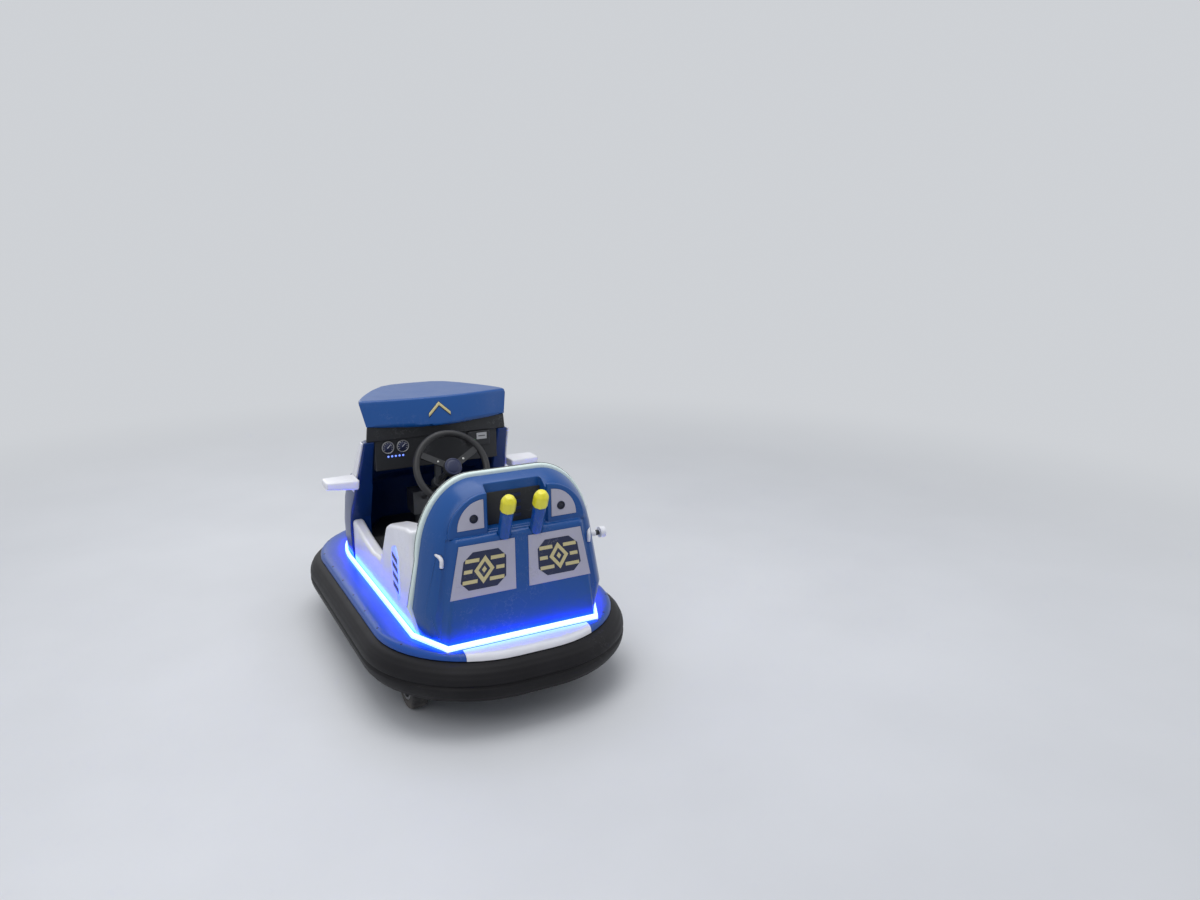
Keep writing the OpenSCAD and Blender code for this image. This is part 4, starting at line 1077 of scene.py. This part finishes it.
class BUMPERCAR_OT_nose(PieceOperator, bpy.types.Operator):
    """Grille bars and moulding of the nose, headlamps with their rings, and two stripes on the bonnet"""
    bl_idname = "bumpercar.nose"
    bl_label = "Nose"

    def build(self):
        bars = []
        for z, half, proud in ((0.052, 0.118, 0.0090), (0.076, 0.130, 0.0098), (0.100, 0.138, 0.0090)):
            x = np.linspace(-half, half, 33)
            y = nose_at(x, BODY_HW + 0.013, NOSE_Y - proud)
            path = xyz(x, y, DECK_Z + z)
            bars.append(tube("grille_bar", path, 0.0072, flat=0.62, sides=12))
        grille = joined("nose_grille", bars)
        dress(grille, "black")
        half = high("nose_panel")[0] - 0.004
        x = np.linspace(-half, half, 81)
        y = nose_at(x, BODY_HW + 0.0146, NOSE_Y - 0.0062)
        path = xyz(x, y, DECK_Z + 0.128)
        line = tube("nose_line", path, 0.0032, sides=10)
        # The nose line takes the cowl's darkened blue, which is painted shade
        dress(line, "cowl")
        n = np.array([math.sin(HEADLAMP_TURN), -math.cos(HEADLAMP_TURN), 0])
        at = np.array([0.205, NOSE_Y + 0.084, DECK_Z + 0.196])
        places = np.array([at, at * [-1, 1, 1]])
        ways = np.array([n, n * [-1, 1, 1]])
        ring = [[0.0298, 0.020], [0.0337, 0.018], [0.0338, 0.030], [0.0330, 0.0336], [0.0312, 0.0338],
                [0.0298, 0.031]]
        rings = lathed("headlamp_rings", ring + ring[:1], places, ways, 48)
        dress(rings, "steel")
        t = np.linspace(0, 1, 14)
        lens = np.stack([0.0296 * t, 0.0315 - 0.006 * t ** 2 + 0.0006 * np.cos(t * 14)], -1)
        lens = np.vstack([lens, [[0.0296, 0.0], [0, 0.0]]])
        lens = lathed("headlamp_lens", lens, places, ways, 48)
        dress(lens, "lamp_white", "headlamps")
        cowl = tree_of(bpy.data.objects["front_cowl_moulded"])
        for s, name in SIDES:
            u = np.linspace(0.026, 0.072, 5)[:, None]
            v = np.linspace(NOSE_Y + 0.118, NOSE_Y + 0.205, 9)[None]
            starts = xyz(s * u, v, 1.0)
            stripe = wrapped("bonnet_stripe_" + name, starts, (0, 0, -1), cowl)
            dress(stripe, "gold")


class BUMPERCAR_OT_visor_mark(PieceOperator, bpy.types.Operator):
    """Pale chevron sticker on the back of the visor"""
    bl_idname = "bumpercar.visor_mark"
    bl_label = "Visor chevron"

    def build(self):
        visor = tree_of(bpy.data.objects["visor_moulded"])
        z0 = DASH_Z + 0.030

        def chevron(name, top, width, finish, lift, slot):
            arms = []
            for s in (-1, 1):
                across = np.linspace(0, 1, 9)[:, None]
                along = np.linspace(0, 1, 4)[None]
                x = s * 0.045 * across + 0 * along
                z = z0 + top - 0.042 * across - width * along
                starts = xyz(x, 0.4, z)
                arms.append(wrapped(name, starts, (0, -1, 0), visor, lift))
            obj = joined(name, arms)
            thickened(obj, VINYL_T)
            dress(obj, finish)

        chevron("visor_chevron_edge", 0.052, 0.020, "navy_vinyl", 0.0006, "navy_plastic")
        chevron("visor_chevron", 0.049, 0.013, "gold", 0.0011, "cap_yellow")


def dash_point(x, out, z):
    """Point of the upright fascia below the dash, out towards the rider."""
    return xyz(x, FASCIA_Y + out, z)


class BUMPERCAR_OT_dash(PieceOperator, bpy.types.Operator):
    """Gauges, lamps, start button and token slot on the fascia"""
    bl_idname = "bumpercar.dash"
    bl_label = "Dash fittings"

    def build(self):
        z = DASH_Z - 0.092
        back = (0, 1, 0)
        places = dash_point(GAUGES_X, 0, z)
        ring = [[0.0215, -0.001], [0.0250, -0.001], [0.0250, 0.004], [0.0238, 0.0062], [0.0215, 0.0050]]
        obj = lathed("gauge_rings", ring + ring[:1], places, back, 40)
        dress(obj, "steel")
        face = [[0, 0.0022], [0.0214, 0.0022], [0.0214, -0.001], [0, -0.001]]
        dress(lathed("gauge_faces", face, places, back, 40), "navy")

        def stroke(cx, angle, inner, outer, foot, tip):
            """Stroke of a gauge between two radii, with its half widths, at an angle from upright."""
            d = np.array([math.sin(angle), math.cos(angle)])
            n = np.array([d[1], -d[0]])
            c = np.array([cx, z])
            return [c + d * inner - n * foot, c + d * outer - n * tip, c + d * outer + n * tip,
                    c + d * inner + n * foot]

        ticks = []
        for cx in GAUGES_X:
            for angle in np.radians(np.arange(-120, 121, 30)):
                ticks.append(stroke(cx, angle, 0.0150, 0.0190, 0.0006, 0.0006))
            ticks.append(stroke(cx, -0.8, -0.004, 0.016, 0.0012, 0.0004))
        obj = slabs("gauge_marks", ticks, dash_point, 0.0018, 0.0030)
        dress(obj, "white")
        box = soft_box("token_box", dash_point(-0.175, 0.004, z - 0.002), (0.048, 0.009, 0.031), 0.22)
        dress(box, "black")
        # The slot is a thin black slab laid on the plate, not an opening: painted shade for its dark hollow
        slot = [rectangle(-0.200, -0.170, z + 0.006, z + 0.0095)]
        plate = [rectangle(-0.207, -0.163, z - 0.006, z + 0.021)]
        obj = slabs("token_plate", plate, dash_point, 0.010, 0.0142)
        dress(obj, "steel")
        obj = slabs("token_slot_painted_shade", slot, dash_point, 0.0135, 0.0147)
        dress(obj, "black")
        button = [[0, 0.0085], [0.007, 0.0080], [0.0095, 0.0060], [0.0100, 0.003], [0.0100, -0.001],
                  [0, -0.001]]
        obj = lathed("start_button", button, dash_point([-0.148], 0.0125, z - 0.012), back, 28)
        dress(obj, "green")
        lamps = [[0, 0.0035], [0.003, 0.0030], [0.0042, 0.001], [0.0042, -0.001], [0, -0.001]]
        obj = lathed("dash_lamps", lamps, dash_point(np.linspace(*GAUGES_X, 5), 0, z - 0.038), back, 16)
        dress(obj, "lamp_blue")


def cloth_swell(obj, pressure, cap, frames=20):
    """Blows the mesh up as cloth from inside; no point moves further than cap."""
    scene = bpy.context.scene
    start = np.empty(len(obj.data.vertices) * 3)
    obj.data.vertices.foreach_get("co", start)
    mod = obj.modifiers.new("Cloth", "CLOTH")
    mod.settings.quality = 5
    mod.settings.use_pressure = True
    mod.settings.uniform_pressure_force = pressure
    mod.settings.effector_weights.gravity = 0
    mod.settings.tension_stiffness = 12
    mod.settings.compression_stiffness = 12
    mod.settings.bending_stiffness = 2
    mod.point_cache.frame_start = 1
    mod.point_cache.frame_end = frames
    for f in range(1, frames + 1):
        scene.frame_set(f)
    blown = bpy.data.meshes.new_from_object(obj.evaluated_get(bpy.context.evaluated_depsgraph_get()))
    end = np.empty_like(start)
    blown.vertices.foreach_get("co", end)
    obj.modifiers.remove(mod)
    scene.frame_set(1)
    bpy.data.meshes.remove(blown)
    move = (end - start).reshape(-1, 3)
    size = np.linalg.norm(move, axis=1, keepdims=True)
    move *= np.minimum(1, cap / np.maximum(size, 1e-9))
    obj.data.vertices.foreach_set("co", (start.reshape(-1, 3) + move).ravel())
    obj.data.update()


def stuffed(node, name, inset, voxel, cap, shape):
    """Padded piece from a soft CAD node: a slightly smaller copy, remeshed and blown up, then shaped by the
    function shape(points), which also keeps it inside its room."""
    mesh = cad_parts[node].data.copy()
    mesh.materials.clear()
    obj = add_object(name, mesh)
    merge(mesh, 1e-4)
    lo, hi = np.array(low(node)), np.array(high(node))
    mid, half = (lo + hi) / 2, (hi - lo) / 2
    mesh.transform(Matrix.Translation(mid) @ Matrix.Diagonal((*((half - inset) / half), 1))
                   @ Matrix.Translation(-mid))
    mod = obj.modifiers.new("Remesh", "REMESH")
    mod.mode = "VOXEL"
    mod.voxel_size = voxel
    even = bpy.data.meshes.new_from_object(obj.evaluated_get(bpy.context.evaluated_depsgraph_get()))
    obj.modifiers.remove(mod)
    obj.data = even
    bpy.data.meshes.remove(mesh)
    bm = bmesh.new()
    bm.from_mesh(even)
    for _ in range(3):
        bmesh.ops.smooth_vert(bm, verts=bm.verts, factor=0.5, use_axis_x=True, use_axis_y=True,
                              use_axis_z=True)
    bm.to_mesh(even)
    bm.free()
    cloth_swell(obj, 4.0, cap)
    points = np.empty(len(even.vertices) * 3)
    even.vertices.foreach_get("co", points)
    points = shape(points.reshape(-1, 3), lo, hi)
    even.vertices.foreach_set("co", points.ravel())
    even.polygons.foreach_set("use_smooth", np.ones(len(even.polygons), bool))
    even.update()
    mod = obj.modifiers.new("Fine surface", "SUBSURF")
    mod.levels = mod.render_levels = 1
    return obj


def groove(distance, width, depth):
    """Depth of a sewn channel at a distance from its seam: a bell curve."""
    return depth * np.exp(-(distance / width) ** 2)


def cushion_shape(p, lo, hi):
    """Flat below, crowned above, with four channels front to back."""
    top = p[:, 2] > (lo[2] + hi[2]) / 2
    centre = np.clip(1 - (np.abs(p[:, 0]) / hi[0]) ** 4, 0, 1)
    for x in (-0.146, -0.049, 0.049, 0.146):
        p[:, 2] -= top * centre * groove(p[:, 0] - x, 0.007, 0.007)
    return np.clip(p, lo + [0.001, 0.001, 0.0002], hi - [0.001, 0.001, 0.0])


def back_pad_shape(p, lo, hi):
    """Flat behind, crowned towards the rider, with upright channels and a cross channel."""
    face = p[:, 1] < (lo[1] + hi[1]) / 2
    centre = np.clip(1 - (np.abs(p[:, 0]) / hi[0]) ** 4, 0, 1)
    for x in (-0.116, 0.0, 0.116):
        p[:, 1] += face * centre * groove(p[:, 0] - x, 0.007, 0.006) * (p[:, 2] < lo[2] + 0.26)
    p[:, 1] += face * centre * groove(p[:, 2] - (lo[2] + 0.265), 0.007, 0.006)
    return np.clip(p, lo + [0.001, 0.0, 0.001], hi - [0.001, 0.0002, 0.001])


def pad_outline(inset, n=16):
    """Outline of the back pad in x and z, drawn in by inset: upright sides and two elliptical shoulders."""
    hw, top, foot = high("seat_back_pad")[0], high("seat_back_pad")[2], low("seat_back_pad")[2]
    a = np.linspace(0, np.pi / 2, n)
    arc = np.stack([hw - 0.152 + (0.140 - inset) * np.cos(a), top - 0.150 + (0.150 - inset) * np.sin(a)], -1)
    half = np.vstack([[[hw - inset, foot + 0.02], [hw - inset, top - 0.188]], arc])
    return np.vstack([half, half[::-1] * [-1, 1]])


class BUMPERCAR_OT_seat(PieceOperator, bpy.types.Operator):
    """Padded seat cushion and back pad with piping, and the lap belt with its buckle"""
    bl_idname = "bumpercar.seat"
    bl_label = "Seat"

    def build(self):
        cushion = stuffed("seat_cushion", "cushion", 0.006, 0.0062, 0.012, cushion_shape)
        dress(cushion, "seat", "seat_cushion")
        pad = stuffed("seat_back_pad", "back_pad", 0.006, 0.0064, 0.012, back_pad_shape)
        dress(pad, "seat", "seat_back_pad")
        seat_tree, pad_tree = tree_of(cushion), tree_of(pad)
        lo, hi = np.array(low("seat_cushion")), np.array(high("seat_cushion"))
        w, y0, y1 = hi[0] - 0.022, lo[1] + 0.022, hi[1] - 0.022
        a = np.linspace(0, 2 * np.pi, 361)[:-1]
        square = xyz(w * signed_power(np.cos(a), 0.22),
                     (y0 + y1) / 2 + (y1 - y0) / 2 * signed_power(np.sin(a), 0.22))
        loop = resample(square, 0.010)
        starts = xyz(*loop.T, ABOVE_SEAT)
        path = cast(seat_tree, starts, (0, 0, -1)) + [0, 0, 0.0006]
        path[:, 2] = np.minimum(path[:, 2], np.median(path[:, 2]) + 0.004)
        path[:, 2] = np.convolve(np.tile(path[:, 2], 3), np.full(7, 1 / 7), "same")[len(path):2 * len(path)]
        piping = tube("seat_piping", path, sizes().seam / 2, closed=True, sides=10)
        dress(piping, "piping")
        y = PANEL_Y - 0.170
        x = np.linspace(-hi[0] + 0.014, hi[0] - 0.014, 61)
        rows = []
        for dy in np.linspace(-0.019, 0.019, 7):
            starts = xyz(x, y + dy, ABOVE_SEAT)
            rows.append(cast(seat_tree, starts, (0, 0, -1)))
        rows = np.stack(rows)
        rows[..., 2] = np.minimum(rows[..., 2], np.median(rows[..., 2]) + 0.006)
        rows[..., 2] = 0.25 * rows[..., 2] + 0.75 * rows[..., 2].max(0) + 0.0016
        belt = mesh_object("lap_belt", rows, grid_quads(7, 61, False, False))
        face_up(belt)
        thickened(belt, 0.0014)
        dress(belt, "webbing", "seat_belt")
        z = float(rows[3, 30:42, 2].max())
        buckle = soft_box("belt_buckle", (0.045, y, z + 0.006), (0.034, 0.026, 0.0075), 0.28)
        dress(buckle, "black")
        press = soft_box("buckle_button", (0.066, y, z + 0.0115), (0.009, 0.016, 0.0035), 0.35)
        dress(press, "red")
        tongue = soft_box("belt_tongue", (0.004, y, z + 0.0045), (0.016, 0.022, 0.0016), 0.3)
        dress(tongue, "steel")
        loop = resample(pad_outline(0.034), 0.012, closed=False)
        starts = xyz(loop[:, 0], 0.30, loop[:, 1])
        path = cast(pad_tree, starts, (0, 1, 0))
        ok = path[:, 1] > 0.38
        piping = tube("pad_piping", path[ok] - [0, 0.0006, 0], sizes().seam / 2, up=(0, 1, 0), sides=10)
        dress(piping, "piping")


def column_points(points):
    """Points given across, down the slope and along the steering column, carried to the car."""
    c, s = math.cos(COLUMN_SLOPE), math.sin(COLUMN_SLOPE)
    axes = np.array([[1, 0, 0], [0, s, -c], [0, c, s]])
    return np.asarray(points, float) @ axes + [0, FORK_Y, GEAR_Z]


class BUMPERCAR_OT_steering(PieceOperator, bpy.types.Operator):
    """Steering wheel: moulded grip with finger bumps, rounded spokes and a hub pad"""
    bl_idname = "bumpercar.steering"
    bl_label = "Steering wheel"

    def build(self):
        u = np.linspace(0, 2 * np.pi, 240, endpoint=False)[:, None]
        v = np.linspace(0, 2 * np.pi, 24, endpoint=False)[None]
        under = np.clip(-np.sin(v), 0, 1)
        r = 0.0137 - 0.0016 * under * (0.5 + 0.5 * np.cos(u * 32))
        ring = GRIP_R + r * np.cos(v)
        grid = xyz(ring * np.cos(u), ring * np.sin(u), COLUMN_L + r * np.sin(v))
        grip = grid_object("steering_grip", column_points(grid), wrap_u=True, wrap_v=True)
        dress(grip, "grip", "steering_ring", body="steering_wheel")
        spokes = rounded_copy("steering_spokes", 0.0035)
        dress(spokes, "black", "steering_spokes", body="steering_wheel")
        profile = [[0, 0.0245], [0.018, 0.0240], [0.026, 0.0222], [0.0270, 0.0212], [0.0285, 0.0220],
                   [0.033, 0.0215], [0.0345, 0.0195], [0.0345, 0.017], [0, 0.017]]
        pad = lathed("hub_pad", profile, column_points([[0, 0, COLUMN_L]]), column_axis(), 48)
        dress(pad, "navy", body="steering_wheel")
        a = np.radians([90, 210, 330])
        at = xyz(0.060 * np.cos(a), 0.060 * np.sin(a), COLUMN_L + 0.0048)
        screws = studs("spoke_screws", column_points(at), column_axis(), 0.0045, 0.0022, 12)
        dress(screws, "zinc", body="steering_wheel")


def column_axis():
    return column_points([[0, 0, 1]]) - column_points([[0, 0, 0]])


def tyre_grid(x0, y0, sides=216):
    """Solid tyre about a level axle: the section's radius falls in two grooves round the crown and in short
    cuts across each shoulder."""
    hw, r, inner, shoulder = 0.028, WHEEL_R, 0.066, 0.009
    t = np.linspace(-1, 1, 27)
    x = hw * np.sign(t) * np.minimum(1, np.abs(t) * 1.06)
    edge = np.clip((np.abs(x) - (hw - shoulder)) / shoulder, 0, 1)
    crown = r - shoulder * (1 - np.sqrt(np.clip(1 - edge ** 2, 0, 1)))
    crown -= 0.0022 * (np.exp(-((x - 0.008) / 0.0013) ** 2) + np.exp(-((x + 0.008) / 0.0013) ** 2))
    x = np.concatenate([[-hw, -hw], x, [hw, hw]])
    crown = np.concatenate([[inner, inner + 0.012], crown, [inner + 0.012, inner]])
    a = 2 * np.pi * np.arange(sides) / sides
    cut = (0.5 + 0.5 * np.cos(36 * a)) ** 8
    side_cut = np.clip((np.abs(x) - 0.013) / 0.006, 0, 1) * (crown > r - 0.012)
    radius = crown[None] - 0.0024 * cut[:, None] * side_cut[None]
    return xyz(x0 + x, y0 + radius * np.cos(a)[:, None], WHEEL_R + radius * np.sin(a)[:, None])


class BUMPERCAR_OT_wheels(PieceOperator, bpy.types.Operator):
    """Tyres with their tread, and the bolts of the rims and of the hub motor"""
    bl_idname = "bumpercar.wheels"
    bl_label = "Wheels"

    def build(self):
        for body, node, x, y in (("front_wheel", "front_tyre", 0.0, FORK_Y),
                                 ("rear_wheel_left", "rear_tyre_left", BODY_HW, AXLE_Y),
                                 ("rear_wheel_right", "rear_tyre_right", -BODY_HW, AXLE_Y)):
            obj = grid_object(node + "_tread", tyre_grid(x, y), wrap_u=True, wrap_v=True)
            dress(obj, "tyre", node, body=body)
            a = np.radians(np.arange(0, 360, 72) + 18)
            sides = (1, -1) if body == "front_wheel" else (1 if x > 0 else -1,)
            for s in sides:
                depth = 0.028 if body == "front_wheel" else 0.008
                ring = 0.052 if body == "front_wheel" else 0.040
                at = xyz(x + s * depth, y + ring * np.cos(a), WHEEL_R + ring * np.sin(a))
                name = node + ("_bolts_out" if s > 0 else "_bolts_in")
                obj = hex_heads(name, at, [[s, 0, 0]], 0.0048, 0.0034)
                dress(obj, "zinc", body=body)


class BUMPERCAR_OT_cockpit(PieceOperator, bpy.types.Operator):
    """Ribbed rubber mat on the footwell floor"""
    bl_idname = "bumpercar.cockpit"
    bl_label = "Cockpit floor"

    def build(self):
        x = np.linspace(-0.235, 0.235, 189)[:, None]
        y = np.linspace(-0.130, 0.105, 24)[None]
        edge = np.clip((0.235 - np.abs(x)) / 0.006, 0, 1)
        z = MAT_Z + 0.0025 + 0.0016 * edge * (0.5 + 0.5 * np.cos(x / 0.010 * 2 * np.pi)) + 0 * y
        mat = mesh_object("floor_mat", xyz(x, y, z), grid_quads(189, 24, False, False))
        face_up(mat)
        thickened(mat, 0.0022)
        dress(mat, "rubber")


# Stage

# Camera solved from the photograph's 1200 by 900 frame
CAMERA_AT = (1.17, 3.38, 1.675)
CAMERA_HEADING = (-0.477, -0.879)
CAMERA_PITCH = math.radians(14.2)
CAMERA_LENS = 27.9


BACKDROP = (0.62, 0.64, 0.67)
LAMPS = [
    # name, place, size in metres, power in watts
    ("Key light", (2.4, 2.4, 3.6), 2.6, 36), ("Top light", (0, 0.2, 4.2), 3.4, 84),
    ("Fill light", (-3.4, 1.6, 2.4), 2.6, 18), ("Front light", (0.8, -3.6, 2.6), 2.6, 26),
]


def seen_rays(n):
    """1 for camera, glossy and transmission rays, which see the plain backdrop."""
    path = n.add("ShaderNodeLightPath").outputs
    some = n.math("ADD", path["Is Camera Ray"], path["Is Glossy Ray"])
    return n.math("ADD", some, path["Is Transmission Ray"], clamp=True)


class BUMPERCAR_OT_stage(PieceOperator, bpy.types.Operator):
    """Pale floor, soft studio light and the camera"""
    bl_idname = "bumpercar.stage"
    bl_label = "Stage"

    def build(self):
        scene = bpy.context.scene
        reach = np.array([-30.0, 30.0])
        floor = grid_object("floor", xyz(reach[:, None], reach[None], 0.0))
        material, n, shader = new_material("Pale floor", Roughness=0.6)
        place = n.add("ShaderNodeTexCoord").outputs["Object"]
        cloud = n.ramp(n.noise(place, 1.6, 6.0), 0.2, 0.8)
        n.tree.links.new(n.mix(cloud, rgba((0.66, 0.67, 0.69)), rgba((0.70, 0.71, 0.73))),
                         shader.inputs["Base Color"])
        distance = n.add("ShaderNodeVectorMath", {0: place}, operation="LENGTH").outputs["Value"]
        far = n.ramp(distance, 1.6, 5.5)
        backdrop = n.add("ShaderNodeEmission", {"Color": rgba(BACKDROP), "Strength": 1.0})
        blend = n.add("ShaderNodeMixShader", {0: n.math("MULTIPLY", far, seen_rays(n)), 1: shader.outputs[0],
                                              2: backdrop.outputs[0]})
        n.tree.links.new(blend.outputs[0], n.tree.nodes["Material Output"].inputs["Surface"])
        floor.data.materials.append(material)
        for name, at, size, power in LAMPS:
            data = bpy.data.lights.new(name, "AREA")
            data.size = size
            data.energy = power
            lamp = bpy.data.objects.new(name, data)
            scene.collection.objects.link(lamp)
            lamp.location = at
            lamp.rotation_mode = "QUATERNION"
            lamp.rotation_quaternion = (Vector((0, 0, 0.4)) - Vector(at)).to_track_quat("-Z", "Y")
        world = bpy.data.worlds.new("Studio")
        scene.world = world
        world.use_nodes = True
        n = Nodes(world.node_tree)
        tone = n.mix(seen_rays(n), rgba((0.40, 0.42, 0.46)), rgba(BACKDROP))
        n.tree.links.new(tone, world.node_tree.nodes["Background"].inputs["Color"])
        data = bpy.data.cameras.new("Camera")
        data.sensor_width = 36
        data.lens = CAMERA_LENS
        camera = bpy.data.objects.new("Camera", data)
        scene.collection.objects.link(camera)
        camera.location = CAMERA_AT
        look = Vector((*CAMERA_HEADING, -math.tan(CAMERA_PITCH))).normalized()
        camera.rotation_mode = "QUATERNION"
        camera.rotation_quaternion = look.to_track_quat("-Z", "Y")
        scene.camera = camera
        scene.view_settings.view_transform = "Standard"


OPERATORS = [
    BUMPERCAR_OT_mouldings, BUMPERCAR_OT_metal, BUMPERCAR_OT_bumper, BUMPERCAR_OT_light_strip,
    BUMPERCAR_OT_stickers, BUMPERCAR_OT_tail_fittings, BUMPERCAR_OT_edge_trim, BUMPERCAR_OT_side_lamps,
    BUMPERCAR_OT_nose, BUMPERCAR_OT_visor_mark, BUMPERCAR_OT_dash, BUMPERCAR_OT_seat, BUMPERCAR_OT_steering,
    BUMPERCAR_OT_wheels, BUMPERCAR_OT_cockpit, BUMPERCAR_OT_stage,
]


class BUMPERCAR_PT_panel(bpy.types.Panel):
    bl_label = "Bumper car"
    bl_idname = "BUMPERCAR_PT_panel"
    bl_space_type = "VIEW_3D"
    bl_region_type = "UI"
    bl_category = "Bumper car"

    def draw(self, context):
        for settings in (colours(), sizes()):
            box = self.layout.box()
            for key in settings.__annotations__:
                box.prop(settings, key)
        for operator in OPERATORS:
            self.layout.operator(operator.bl_idname)


CLASSES = [BumperCarColours, BumperCarSizes, *OPERATORS, BUMPERCAR_PT_panel]


def register():
    for cls in CLASSES:
        bpy.utils.register_class(cls)
    bpy.types.Scene.bumper_car_colours = bpy.props.PointerProperty(type=BumperCarColours)
    bpy.types.Scene.bumper_car_sizes = bpy.props.PointerProperty(type=BumperCarSizes)


def unregister():
    del bpy.types.Scene.bumper_car_sizes
    del bpy.types.Scene.bumper_car_colours
    for cls in reversed(CLASSES):
        bpy.utils.unregister_class(cls)


def main():
    register()
    make_materials()
    for operator in OPERATORS:
        group, name = operator.bl_idname.split(".")
        getattr(getattr(bpy.ops, group), name)()


if __name__ == "__main__":
    main()
